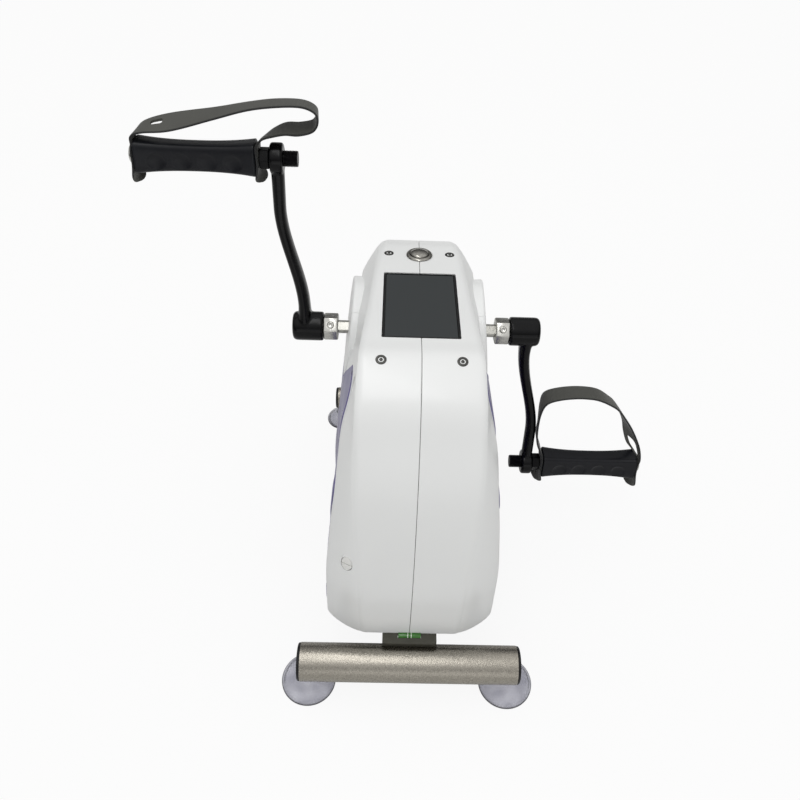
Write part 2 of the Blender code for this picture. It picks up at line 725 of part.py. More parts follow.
# Display, push button and panel screws in the top panel
def display():
    top = -0.0004
    frame = box(
        "display_frame", (DISPLAY_WIDTH, DISPLAY_LENGTH, DISPLAY_DEPTH), (0, 0, 0), BLACK_PLASTIC,
        bevel=0.0012,
    )
    frame.matrix_world = DISPLAY_PLACE @ Matrix.Translation((0, 0, top - DISPLAY_DEPTH / 2))
    width = DISPLAY_WIDTH - 2 * GLASS_BORDER
    length = DISPLAY_LENGTH - 2 * GLASS_BORDER
    recess = box(
        "glass_recess", (width + 2 * GAP, length + 2 * GAP, 0.01), (0, 0, 0), collection=CUTTERS
    )
    floor = top - GLASS_THICKNESS - 2 * GAP
    recess.matrix_world = DISPLAY_PLACE @ Matrix.Translation((0, 0, floor + 0.005))
    combine(frame, recess)
    glass = box("display_glass", (width, length, GLASS_THICKNESS), (0, 0, 0), SCREEN_GLASS)
    glass.matrix_world = DISPLAY_PLACE @ Matrix.Translation((0, 0, floor + GAP + GLASS_THICKNESS / 2))


def push_button():
    """A metal panel button: a barrel behind the panel, a chamfered bezel and a domed cap."""
    bore = BUTTON_RADIUS + GAP
    cap_depth = 0.006
    floor = -cap_depth - BUTTON_TRAVEL - GAP
    bezel = 0.0022
    seat = GAP + 0.0004
    body = [
        (0, floor),
        (bore, floor),
        (bore, bezel),
        (BUTTON_BEZEL_RADIUS - 0.001, bezel),
        (BUTTON_BEZEL_RADIUS, bezel - 0.001),
        (BUTTON_BEZEL_RADIUS, seat),
        (BUTTON_BARREL_RADIUS, seat),
        (BUTTON_BARREL_RADIUS, -BUTTON_BARREL_LENGTH),
        (0, -BUTTON_BARREL_LENGTH),
    ]
    start = BUTTON_PLACE.translation
    normal = BUTTON_PLACE.to_3x3() @ Z_AXIS
    turned("button_body", body, start, normal, ZINC_STEEL)
    dome = [(BUTTON_RADIUS * math.sin(a), bezel + 0.0016 * math.cos(a)) for a in np.linspace(0, math.pi / 2, 5)]
    cap = dome + [(BUTTON_RADIUS, -cap_depth), (0, -cap_depth)]
    turned("power_button", cap, start, normal, ZINC_STEEL)


def panel_screws():
    head = 0.0022
    profile = [
        (0, head),
        (PANEL_SCREW_RADIUS * 0.55, head),
        (PANEL_SCREW_RADIUS, head * 0.35),
        (PANEL_SCREW_RADIUS, 0),
        (PANEL_SCREW_SHANK, 0),
        (PANEL_SCREW_SHANK, -0.010),
        (0, -0.010),
    ]
    for name, place in SCREW_PLACES.items():
        normal = place.to_3x3() @ Z_AXIS
        turned(name, profile, place.translation + normal * 2 * GAP, normal, ZINC_STEEL, sides=12)


display()
push_button()
panel_screws()


# Covers and coloured panels on the flat sides
def cover_place(sign):
    """The matrix of a seat on the outer face of the axle cover, which leans in towards the top."""
    out = Vector((sign, 0, HUB_COVER_LEAN)).normalized()
    up = (Z_AXIS - out * Z_AXIS.dot(out)).normalized()
    turn = Matrix((up.cross(out), up, out)).transposed().to_4x4()
    return Matrix.Translation((sign * HUB_COVER_FACE, AXLE.y, AXLE.z)) @ turn


def hub_cover(side, sign):
    """A round cover with a soft edge; its back is shaped to the shoulder of the shell."""
    radius = HUB_COVER_RADIUS
    hole = AXLE_RADIUS + 0.0015
    profile = [
        (hole, 0),
        (radius - 0.0030, 0),
        (radius - 0.0008, -0.001),
        (radius, -0.0026),
        (radius, -HUB_COVER_DEPTH),
        (hole, -HUB_COVER_DEPTH),
    ]
    place = cover_place(sign)
    axis = place.to_3x3() @ Z_AXIS
    cover = turned(f"{side}_hub_cover", profile, place.translation, axis, WHITE_ABS, 28, closed=True)
    combine(cover, housing_half(f"{side}_cover_trim", sign, -GAP, 2, CUTTERS, seam=-0.001, drop=0.01))


def panel_reach(y, z):
    """How far the panel's edge stays behind the housing's outline, with two notches in front."""
    border = SHOULDER_DEPTH + SIDE_PANEL_BORDER
    ahead = np.clip((AXLE.y - 0.09 - y) / 0.02, 0, 1)
    upper = 0.030 * np.exp(-(((z - 0.268) / 0.011) ** 2))
    lower = 0.022 * np.exp(-(((z - 0.178) / 0.034) ** 4))
    return border + ahead * (upper + lower)


def side_panel(side, sign):
    """A coloured panel that follows the side wall in front of and below the axle cover."""
    y, z, _ = side_outline(0.0, 4).T
    step_y, step_z, away = towards_heart(y, z)
    reach = panel_reach(y, z)
    foot = SHELL_BOTTOM + SIDE_PANEL_BORDER
    face = GAP + SIDE_PANEL_RISE
    rings = []
    for part, rise in ((0, None), (0, face - 0.0008), (0.008, face), (0.3, face), (0.6, face), (0.9, face)):
        inset = reach + (away - reach) * part
        yy = y + step_y * inset
        zz = foot + (z + step_z * inset - SHELL_BOTTOM) * (HEART_HEIGHT - foot) / (HEART_HEIGHT - SHELL_BOTTOM)
        xx = np.full_like(yy, 0.030) if rise is None else wall_x(yy, zz) + rise
        rings.append(list(zip(sign * xx, yy, zz)))
    panel = walled(f"{side}_side_panel", rings, PURPLE_ABS)
    combine(panel, housing_half(f"{side}_panel_trim", sign, -GAP, 2, CUTTERS, seam=-0.001, drop=0.01))
    ring = HUB_COVER_RADIUS + 0.0025
    place = cover_place(sign)
    clearance = cylinder(
        f"{side}_cover_clearance", ring, place @ Vector((0, 0, -0.05)), place @ Vector((0, 0, 0.02)),
        sides=36, collection=CUTTERS,
    )
    combine(panel, clearance)
    above = box(
        f"{side}_panel_top_cut", (0.08, 0.30, 0.10), (sign * 0.06, AXLE.y + 0.09, AXLE.z + 0.05),
        collection=CUTTERS,
    )
    combine(panel, above)


for side, sign in SIDES:
    hub_cover(side, sign)
    side_panel(side, sign)


# Drive inside the housing: uprights, bearings, shaft, pulleys, belt, motor and board
def upright(side, sign):
    """A steel plate on the base that holds a shaft bearing in its head."""
    head = BEARING_RADIUS + 0.012
    foot = SHELL_BOTTOM - AXLE.z + GAP
    outline = [(-0.050, foot)]
    outline += arc((0, 0), head, 200, -20, 15)
    outline += [(0.050, foot)]
    hole = arc((0, 0), BEARING_RADIUS + GAP, 0, 345, 24)
    plate = flat_outline(f"upright_{side}", [outline, hole], UPRIGHT_THICKNESS, DARK_STEEL)
    plate.matrix_world = Matrix.Translation((sign * UPRIGHT_OFFSET, AXLE.y, AXLE.z)) @ UPRIGHT_PLANE
    as_mesh(plate)


def bearing(side, sign):
    bore = AXLE_RADIUS + GAP
    half = BEARING_WIDTH / 2
    profile = [(BEARING_RADIUS, half), (BEARING_RADIUS, -half), (bore, -half), (bore, half)]
    start = (sign * UPRIGHT_OFFSET, AXLE.y, AXLE.z)
    turned(f"shaft_bearing_{side}", profile, start, X_AXIS, ZINC_STEEL, closed=True)


def belt_pulley(name, centre, radius, bore, hub):
    half = PULLEY_WIDTH / 2
    rim = 0.004
    web = 0.0025
    profile = [
        (radius, half),
        (radius, -half),
        (radius - rim, -half),
        (radius - rim, -web),
        (hub, -web),
        (hub, -half),
        (bore, -half),
        (bore, half),
        (hub, half),
        (hub, web),
        (radius - rim, web),
        (radius - rim, half),
    ]
    turned(name, profile, centre, X_AXIS, BLACK_PLASTIC, 24, closed=True)


def motor_pulley():
    """The small pulley with the motor's output shaft in one piece."""
    half = PULLEY_WIDTH / 2
    shaft = 0.004
    profile = [
        (0, half + 0.010),
        (shaft, half + 0.010),
        (shaft, half),
        (MOTOR_PULLEY_RADIUS, half),
        (MOTOR_PULLEY_RADIUS, -half),
        (0, -half),
    ]
    turned("motor_pulley", profile, MOTOR, X_AXIS, ZINC_STEEL)


def drive_belt():
    """A flat loop round both pulleys: two arcs joined by their outer tangents."""
    span = Vector((AXLE.y - MOTOR.y, AXLE.z - MOTOR.z))
    heading = math.degrees(math.atan2(span.y, span.x))
    spread = math.degrees(math.acos((PULLEY_RADIUS - MOTOR_PULLEY_RADIUS) / span.length))

    def loop(extra):
        big = arc(
            (AXLE.y, AXLE.z), PULLEY_RADIUS + extra, heading - 180 + spread, heading + 180 - spread, 28
        )
        small = arc(
            (MOTOR.y, MOTOR.z), MOTOR_PULLEY_RADIUS + extra, heading + 180 - spread, heading + 180 + spread,
            9,
        )
        return big + small

    loops = [loop(GAP + BELT_THICKNESS), loop(GAP)]
    belt = flat_outline("drive_belt", loops, PULLEY_WIDTH - 0.0032, BLACK_PLASTIC)
    belt.matrix_world = UPRIGHT_PLANE
    as_mesh(belt)


def crank_shaft():
    end = BOSS_END - 0.005
    edge = 0.0006
    profile = [
        (0, end),
        (AXLE_RADIUS - edge, end),
        (AXLE_RADIUS, end - edge),
        (AXLE_RADIUS, -end + edge),
        (AXLE_RADIUS - edge, -end),
        (0, -end),
    ]
    turned("crank_shaft", profile, AXLE, X_AXIS, ZINC_STEEL)


def gear_motor():
    face = PULLEY_WIDTH / 2 + 0.0025 + 0.003 + 2 * GAP
    plate_x = face - 0.003 - GAP
    depth = MOTOR_RADIUS + 0.006
    low = BASE_TOP + GAP
    high = MOTOR.z + depth
    bracket = box(
        "motor_bracket", (0.003, 2 * depth, high - low), (plate_x + 0.0015, MOTOR.y, (low + high) / 2),
        DARK_STEEL,
    )
    hole = cylinder(
        "motor_shaft_hole", 0.008, (0, MOTOR.y, MOTOR.z), (0.03, MOTOR.y, MOTOR.z), sides=24,
        collection=CUTTERS,
    )
    combine(bracket, hole)
    start = (face, MOTOR.y, MOTOR.z)
    bore = 0.005
    recess = 0.009
    profile = [
        (0, MOTOR_LENGTH),
        (MOTOR_RADIUS * 0.9, MOTOR_LENGTH),
        (MOTOR_RADIUS * 0.9, MOTOR_LENGTH * 0.45),
        (MOTOR_RADIUS, MOTOR_LENGTH * 0.45 - 0.001),
        (MOTOR_RADIUS, 0),
        (bore, 0),
        (bore, recess),
        (0, recess),
    ]
    turned("gear_motor", profile, start, X_AXIS, ZINC_STEEL)


def control_board():
    """The motor controller: a board on four posts with its tall components."""
    y = FRONT_Y + 0.068
    post = 0.008
    board_z = BASE_TOP + GAP + post
    width = 0.048
    length = 0.056
    board = box("control_board", (width, length, 0.0016), (0, y, board_z + 0.0008), BOARD_GREEN)
    for i, (px, py) in enumerate(((-1, -1), (1, -1), (1, 1), (-1, 1))):
        x = px * (width / 2 - 0.005)
        yy = y + py * (length / 2 - 0.005)
        stand = cylinder(
            f"board_post_{i}", 0.0025, (x, yy, BASE_TOP + GAP), (x, yy, board_z + 0.0004), sides=8,
            collection=CUTTERS,
        )
        combine(board, stand, "UNION")
    top = board_z + 0.0012
    for i, (x, dy, radius) in enumerate(((-0.013, -0.014, 0.006), (0.0, -0.014, 0.006), (0.013, -0.014, 0.005))):
        can = cylinder(
            f"capacitor_{i}", radius, (x, y + dy, top), (x, y + dy, top + 0.018), sides=12,
            collection=CUTTERS,
        )
        combine(board, can, "UNION")
    sink = box("heat_sink", (0.034, 0.012, 0.020), (0, y + 0.012, top + 0.010), collection=CUTTERS)
    combine(board, sink, "UNION")


def power_inlet():
    """A round socket for the low-voltage supply, held by its flange in the back wall."""
    wall = FRONT_Y + BACK_WALL_BEHIND
    flange = 0.0020
    bore = 0.0032
    profile = [
        (0, -0.010),
        (bore, -0.010),
        (bore, flange),
        (0.0085, flange),
        (0.0090, flange - 0.0006),
        (0.0090, 0),
        (INLET_RADIUS, 0),
        (INLET_RADIUS, -0.014),
        (0, -0.014),
    ]
    turned("power_inlet", profile, (INLET_X, wall + GAP, INLET_HEIGHT), Y_AXIS, BLACK_PLASTIC, sides=16)


for side, sign in SIDES:
    upright(side, sign)
    bearing(side, sign)
belt_pulley("drive_pulley", AXLE, PULLEY_RADIUS, AXLE_RADIUS + GAP, 0.0125)
motor_pulley()
drive_belt()
crank_shaft()
gear_motor()
control_board()
power_inlet()


# Crank arms, pedal pins, grips and hand straps
def crank_direction(sign):
    """Unit vector from the axle to this side's pin: the left arm points up, the right one down."""
    tilt = math.radians(CRANK_TILT)
    return -sign * Vector((0, math.sin(tilt), math.cos(tilt)))


def pin_centre(sign):
    return AXLE + crank_direction(sign) * CRANK_LENGTH


def collar(side, sign):
    """A hexagon collar with a set screw that locks the crank's boss on the shaft."""
    corner = COLLAR_FLATS / math.sqrt(3)
    axis = sign * X_AXIS
    start = Vector((sign * COLLAR_START, AXLE.y, AXLE.z))
    piece = cylinder(f"{side}_collar", corner, start, start + COLLAR_WIDTH * axis, ZINC_STEEL, sides=6)
    tilt = math.radians(SET_SCREW_TILT)
    outward = Vector((0, -math.cos(tilt), math.sin(tilt)))
    turn = Matrix((outward, axis.cross(outward), axis)).transposed().to_4x4()
    piece.matrix_world = Matrix.Translation(start) @ turn
    bore = cylinder(
        f"{side}_collar_bore", AXLE_RADIUS + GAP, start - sign * 0.01 * X_AXIS,
        start + sign * (COLLAR_WIDTH + 0.01) * X_AXIS, collection=CUTTERS,
    )
    combine(piece, bore)
    middle = start + sign * COLLAR_WIDTH / 2 * X_AXIS
    hole = cylinder(
        f"{side}_set_screw_hole", 0.0036, middle, middle + outward * 0.03, collection=CUTTERS, sides=16
    )
    combine(piece, hole)
    profile = [
        (0, 0.0115),
        (0.0012, 0.0115),
        (0.0012, 0.0135),
        (0.0028, 0.0135),
        (0.0033, 0.0130),
        (0.0033, AXLE_RADIUS + 2 * GAP),
        (0, AXLE_RADIUS + 2 * GAP),
    ]
    turned(f"{side}_set_screw", profile, middle, outward, ZINC_STEEL, sides=12)


def crank_arm(side, sign):
    """A forged S-shaped arm: oval sections swept from the boss on the shaft to the pin's eye."""
    down = crank_direction(sign)
    across = down.cross(X_AXIS)
    inner_x = BOSS_START + BOSS_WIDTH - 0.0125
    steps = 10
    around = 10
    rings = []
    for k in range(steps):
        s = 0.02 + 0.96 * k / (steps - 1)
        bend = np.clip((s - 0.12) / 0.62, 0, 1)
        bend = bend * bend * (3 - 2 * bend)
        x = inner_x + (EYE_OFFSET - inner_x) * bend
        half_x = ARM_THICKNESS / 2 * (0.99 - 0.08 * math.sin(math.pi * s))
        half_y = ARM_DEPTH / 2 * (1.25 - 0.40 * s)
        centre = AXLE + down * CRANK_LENGTH * s
        ring = []
        for i in range(around):
            a = 2 * math.pi * i / around
            wide = math.copysign(abs(math.cos(a)) ** 0.7, math.cos(a))
            deep = math.copysign(abs(math.sin(a)) ** 0.7, math.sin(a))
            ring.append(centre + X_AXIS * sign * float(x + half_x * wide) + across * half_y * deep)
        rings.append(ring)
    arm = lofted(f"{side}_crank_arm", rings, BLACK_ENAMEL)
    edge = 0.002
    boss = [
        (0, BOSS_WIDTH),
        (BOSS_RADIUS - edge, BOSS_WIDTH),
        (BOSS_RADIUS, BOSS_WIDTH - edge),
        (BOSS_RADIUS, edge),
        (BOSS_RADIUS - edge, 0),
        (0, 0),
    ]
    hub = turned(
        f"{side}_boss", boss, (sign * BOSS_START, AXLE.y, AXLE.z), sign * X_AXIS,
        sides=24, collection=CUTTERS,
    )
    combine(arm, hub, "UNION")
    eye_half = ARM_THICKNESS / 2
    eye = [
        (0, eye_half),
        (EYE_RADIUS - edge, eye_half),
        (EYE_RADIUS, eye_half - edge),
        (EYE_RADIUS, -eye_half + edge),
        (EYE_RADIUS - edge, -eye_half),
        (0, -eye_half),
    ]
    pin = pin_centre(sign)
    ring = turned(
        f"{side}_eye", eye, pin + sign * EYE_OFFSET * X_AXIS, sign * X_AXIS, sides=24,
        collection=CUTTERS,
    )
    combine(arm, ring, "UNION")
    bore = cylinder(
        f"{side}_boss_bore", AXLE_RADIUS + GAP, (sign * (BOSS_START - 0.01), AXLE.y, AXLE.z),
        (sign * (BOSS_END - 0.004), AXLE.y, AXLE.z), collection=CUTTERS,
    )
    combine(arm, bore)
    hole = cylinder(
        f"{side}_eye_bore", PIN_RADIUS + GAP, pin + sign * (EYE_OFFSET - 0.03) * X_AXIS,
        pin + sign * (EYE_OFFSET + 0.03) * X_AXIS, collection=CUTTERS,
    )
    combine(arm, hole)


def pedal_pin(side, sign):
    """A threaded pin through the eye, locked by a nut, with a thick stub inboard and a cap outboard."""
    pin = pin_centre(sign)
    start = EYE_INNER - PIN_STUB
    length = PIN_END - GAP - start
    edge = 0.0007
    profile = [
        (0, length),
        (PIN_RADIUS, length),
        (PIN_RADIUS, PIN_STUB - PIN_NECK),
        (PIN_STUB_RADIUS, PIN_STUB - PIN_NECK),
        (PIN_STUB_RADIUS, edge),
        (PIN_STUB_RADIUS - edge, 0),
        (0, 0),
    ]
    turned(f"{side}_pedal_pin", profile, pin + sign * start * X_AXIS, sign * X_AXIS, BLACK_ENAMEL)
    nut = cylinder(
        f"{side}_pin_nut", NUT_FLATS / math.sqrt(3), pin + sign * NUT_START * X_AXIS,
        pin + sign * NUT_END * X_AXIS, BLACK_ENAMEL, sides=6,
    )
    bore = cylinder(
        f"{side}_nut_bore", PIN_RADIUS + GAP, pin + sign * (NUT_START - 0.01) * X_AXIS,
        pin + sign * (NUT_END + 0.01) * X_AXIS, collection=CUTTERS,
    )
    combine(nut, bore)
    cap = [
        (0, CAP_SCREW_THICKNESS),
        (CAP_SCREW_RADIUS * 0.7, CAP_SCREW_THICKNESS),
        (CAP_SCREW_RADIUS, CAP_SCREW_THICKNESS * 0.5),
        (CAP_SCREW_RADIUS, 0),
        (0, 0),
    ]
    turned(f"{side}_end_screw", cap, pin + sign * PIN_END * X_AXIS, sign * X_AXIS, ZINC_STEEL)


def grip_section(u, angle):
    """Depth and height of the grip's rounded square section at share u of its length.

    The section swells from the waist to both ends, and one face has finger grooves.
    """
    swell = GRIP_WAIST + (1 - GRIP_WAIST) * abs(2 * u - 1) ** 2.4
    wide = math.cos(angle)
    tall = math.sin(angle)
    power = GRIP_CORNER_POWER
    reach = (abs(wide) ** power + abs(tall) ** power) ** (-1 / power)
    groove = 0.5 - 0.5 * math.cos(2 * math.pi * GRIP_GROOVES * (u - 0.08) / 0.84)
    if u < 0.08 or u > 0.92:
        groove = 1.0
    dip = GRIP_GROOVE_DEPTH * (groove - 1) * max(0.0, wide) ** 2
    return swell * GRIP_END_HALF_DEPTH * reach * wide + dip, swell * GRIP_END_HALF_HEIGHT * reach * tall


def hand_grip(side, sign):
    pin = pin_centre(sign)
    around = 16
    along_grip = 17
    up = -sign * crank_direction(sign)
    front = up.cross(X_AXIS)
    front = front if front.y < 0 else -front
    rings = []
    for k in range(along_grip):
        u = k / (along_grip - 1)
        middle = pin + sign * (GRIP_START + GRIP_LENGTH * u) * X_AXIS
        ring = []
        for i in range(around):
            deep, tall = grip_section(u, 2 * math.pi * (i + 0.5) / around)
            ring.append(middle + front * deep + up * tall)
        rings.append(ring)
    grip = lofted(f"{side}_hand_grip", rings, GRIP_RUBBER)
    bore = cylinder(
        f"{side}_grip_bore", PIN_RADIUS + RUNNING_CLEARANCE, pin + sign * (GRIP_START - 0.01) * X_AXIS,
        pin + sign * (GRIP_END + 0.01) * X_AXIS, collection=CUTTERS,
    )
    combine(grip, bore)


def strap_path(side):
    """The strap's middle line as rows of distance from the centre plane and height above the pin.

    The left loop is pressed down and leans inwards over the crank, the right one stands tall.
    """
    tail_out = (STRAP_OUTER_X, -STRAP_TAIL)
    tail_in = (STRAP_INNER_X, -STRAP_TAIL)
    clear = GRIP_END_HALF_HEIGHT + STRAP_THICKNESS
    if side == "left":
        loop = [
            (STRAP_OUTER_X, clear),
            (STRAP_OUTER_X - 0.005, clear + 0.0085),
            (0.2275, 0.0385),
            (0.1850, 0.0480),
            (0.1350, 0.0560),
            (0.1080, 0.0545),
            (0.0970, 0.0450),
            (0.1020, 0.0340),
            (0.1140, 0.0305),
            (0.1270, 0.0300),
            (0.1400, 0.0275),
            (STRAP_INNER_X, clear),
        ]
    else:
        loop = [
            (STRAP_OUTER_X, clear),
            (STRAP_OUTER_X - 0.0005, 0.0330),
            (0.2460, 0.0590),
            (0.2290, 0.0790),
            (0.2080, 0.0910),
            (0.1840, 0.0950),
            (0.1620, 0.0910),
            (STRAP_INNER_X, 0.0790),
            (STRAP_INNER_X - 0.0010, 0.0500),
            (STRAP_INNER_X, clear),
        ]
    middle = smooth_through(loop, 2)
    return np.vstack([[tail_out], middle, [tail_in]])


def hand_strap(side, sign):
    """A flat rubber band: the path thickened in its own plane and as wide as the strap across it."""
    path = strap_path(side)
    ahead = np.vstack([path[1:], path[-1:]])
    behind = np.vstack([path[:1], path[:-1]])
    run = ahead - behind
    run /= np.linalg.norm(run, axis=1)[:, None]
    normal = np.stack([-run[:, 1], run[:, 0]], axis=1) * STRAP_THICKNESS / 2
    outline = np.vstack([path + normal, (path - normal)[::-1]])
    pin = pin_centre(sign)
    up = Vector((0, math.sin(math.radians(CRANK_TILT)), math.cos(math.radians(CRANK_TILT))))
    points = [(sign * x, h) for x, h in outline]
    strap = flat_outline(f"{side}_hand_strap", [points], STRAP_WIDTH, STRAP_RUBBER)
    turn = Matrix((X_AXIS, up, X_AXIS.cross(up))).transposed().to_4x4()
    strap.matrix_world = Matrix.Translation(pin) @ turn
    strap = as_mesh(strap)
    hole = cylinder(
        f"{side}_strap_holes", PIN_RADIUS + RUNNING_CLEARANCE, pin + sign * (STRAP_INNER_X - 0.01) * X_AXIS,
        pin + sign * (STRAP_OUTER_X + 0.01) * X_AXIS, collection=CUTTERS,
    )
    combine(strap, hole)


for side, sign in SIDES:
    collar(side, sign)
    crank_arm(side, sign)
    pedal_pin(side, sign)
    hand_grip(side, sign)
    hand_strap(side, sign)
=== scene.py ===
"""Arm and leg rehabilitation bike: the dressed model in a plain studio.

Units are metres, +Z is up. The user sits on the -Y side and +X is to the right in the user's view.
"""

import math

import bmesh
import bpy
import numpy as np
from mathutils import Matrix, Vector


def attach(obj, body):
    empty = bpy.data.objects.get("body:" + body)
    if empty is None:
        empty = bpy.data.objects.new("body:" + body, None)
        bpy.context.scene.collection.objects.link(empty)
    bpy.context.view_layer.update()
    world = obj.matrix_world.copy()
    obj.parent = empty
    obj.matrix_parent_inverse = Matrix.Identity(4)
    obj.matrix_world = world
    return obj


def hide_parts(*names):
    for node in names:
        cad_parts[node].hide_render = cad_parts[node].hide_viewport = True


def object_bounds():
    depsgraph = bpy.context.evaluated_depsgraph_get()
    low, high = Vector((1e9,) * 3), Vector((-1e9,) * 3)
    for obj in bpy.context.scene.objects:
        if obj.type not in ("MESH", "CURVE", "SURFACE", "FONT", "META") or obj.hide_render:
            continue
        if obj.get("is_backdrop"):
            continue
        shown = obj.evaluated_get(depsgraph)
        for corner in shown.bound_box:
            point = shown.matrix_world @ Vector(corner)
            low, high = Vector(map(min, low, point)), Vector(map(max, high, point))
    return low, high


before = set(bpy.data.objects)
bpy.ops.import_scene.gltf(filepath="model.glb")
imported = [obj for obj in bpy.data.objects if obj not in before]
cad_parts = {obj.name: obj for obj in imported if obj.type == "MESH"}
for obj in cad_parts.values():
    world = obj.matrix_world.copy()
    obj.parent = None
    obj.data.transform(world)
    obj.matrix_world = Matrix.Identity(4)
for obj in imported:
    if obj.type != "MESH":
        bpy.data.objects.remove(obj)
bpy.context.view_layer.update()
scene = bpy.context.scene
scene.view_settings.view_transform = "Standard"
X_AXIS = np.array((1.0, 0.0, 0.0))
SIDES = (("left", -1), ("right", 1))


# Camera
# A short lens held above the user's knees, looking down over the trainer and a little to the right.
yaw, pitch, roll = math.radians(2.13), math.radians(50.01), math.radians(3.08)
ahead = Vector((math.sin(yaw) * math.cos(pitch), math.cos(yaw) * math.cos(pitch), -math.sin(pitch)))
level = Vector((math.cos(yaw), -math.sin(yaw), 0))
above = level.cross(ahead)
right = math.cos(roll) * level + math.sin(roll) * above
upward = -math.sin(roll) * level + math.cos(roll) * above
camera = bpy.data.objects.new("camera", bpy.data.cameras.new("camera"))
camera.matrix_world = Matrix((right, upward, -ahead)).transposed().to_4x4()
camera.location = (-0.02677, -0.48755, 0.82546)
camera.data.sensor_width = 36
camera.data.lens = 35.887
camera.data.shift_x = -0.0093
camera.data.shift_y = 0.0079
scene.collection.objects.link(camera)
scene.camera = camera


# Room
# A pale matt floor that runs on into the white of the room, and a white sky, brightest overhead.
# Two dim softboxes, one overhead and one behind the user, draw the soft highlights.
FLOOR_HALF = 6
DIM_SKY, BRIGHT_SKY = 0.14, 1.05


def linear(code):
    """Linear red, green, blue and alpha of an sRGB hex code."""
    srgb = np.array([int(code[i : i + 2], 16) / 255 for i in (1, 3, 5)])
    low = srgb / 12.92
    high = ((srgb + 0.055) / 1.055) ** 2.4
    return (*np.where(srgb <= 0.04045, low, high), 1.0)


def add(tree, kind, settings=None, **sockets):
    """One node with its settings; each socket, by name or inN, gets a value or a link from another socket."""
    made = tree.nodes.new(kind)
    for key, value in (settings or {}).items():
        setattr(made, key, value)
    for key, value in sockets.items():
        place = int(key[2:]) if key[:2] == "in" and key[2:].isdigit() else key.replace("_", " ")
        if isinstance(value, bpy.types.NodeSocket):
            tree.links.new(value, made.inputs[place])
        else:
            made.inputs[place].default_value = value
    return made


def seen_directly(tree):
    """1 for rays from the camera and for those that passed through clear plastic."""
    path = add(tree, "ShaderNodeLightPath")
    ends = (path.outputs["Is Camera Ray"], path.outputs["Is Transmission Ray"])
    return add(tree, "ShaderNodeMath", {"operation": "MAXIMUM"}, in0=ends[0], in1=ends[1]).outputs[0]


matt_floor = bpy.data.materials.new("matt_white_floor")
matt_floor.use_nodes = True
tree = matt_floor.node_tree
diffuse = tree.nodes["Principled BSDF"]
diffuse.inputs["Base Color"].default_value = linear("#E4E4E3")
diffuse.inputs["Roughness"].default_value = 0.9
lift = add(tree, "ShaderNodeEmission", Color=(1, 1, 1, 1), Strength=1.0)
share = add(tree, "ShaderNodeMath", {"operation": "MULTIPLY"}, in0=seen_directly(tree), in1=0.90)
faded = add(tree, "ShaderNodeMixShader", in0=share.outputs[0], in1=diffuse.outputs[0], in2=lift.outputs[0])
tree.links.new(faded.outputs[0], tree.nodes["Material Output"].inputs["Surface"])
floor_mesh = bpy.data.meshes.new("floor")
floor_corners = [(x * FLOOR_HALF, y * FLOOR_HALF, 0) for x, y in ((-1, -1), (1, -1), (1, 1), (-1, 1))]
floor_mesh.from_pydata(floor_corners, [], [(0, 1, 2, 3)])
floor_mesh.materials.append(matt_floor)
floor = bpy.data.objects.new("floor", floor_mesh)
scene.collection.objects.link(floor)
floor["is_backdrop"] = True

world = bpy.data.worlds.new("white_room")
world.use_nodes = True
scene.world = world
tree = world.node_tree
sky = tree.nodes["Background"]
sky.inputs["Color"].default_value = (1, 1, 1, 1)
way = add(tree, "ShaderNodeNewGeometry").outputs["Incoming"]
toward = add(tree, "ShaderNodeVectorMath", {"operation": "DOT_PRODUCT"}, in0=way, in1=(0, 0.02, -1))
climb = add(
    tree, "ShaderNodeMapRange", {"interpolation_type": "SMOOTHSTEP"}, in0=toward.outputs["Value"],
    in1=0.1, in2=0.95, in3=DIM_SKY, in4=BRIGHT_SKY,
)
tree.links.new(climb.outputs[0], sky.inputs["Strength"])
white = add(tree, "ShaderNodeBackground", Color=(1, 1, 1, 1), Strength=1.0)
shown = add(tree, "ShaderNodeMixShader", in0=seen_directly(tree), in1=sky.outputs[0], in2=white.outputs[0])
tree.links.new(shown.outputs[0], tree.nodes["World Output"].inputs["Surface"])


def softbox(name, size, place, target, watts):
    """A rectangular area lamp at place, turned to its target."""
    lamp = bpy.data.objects.new(name, bpy.data.lights.new(name, "AREA"))
    lamp.data.shape = "RECTANGLE"
    lamp.data.size, lamp.data.size_y = size
    lamp.data.energy = watts
    lamp.location = place
    lamp.rotation_euler = (Vector(target) - Vector(place)).to_track_quat("-Z", "Y").to_euler()
    scene.collection.objects.link(lamp)


softbox("overhead_softbox", (1.9, 0.34), (-0.2, -0.1, 2.0), (0, -0.05, 0.2), 8)
softbox("front_softbox", (2.4, 1.0), (0.35, -2.2, 0.4), (0, 0, 0.2), 7)


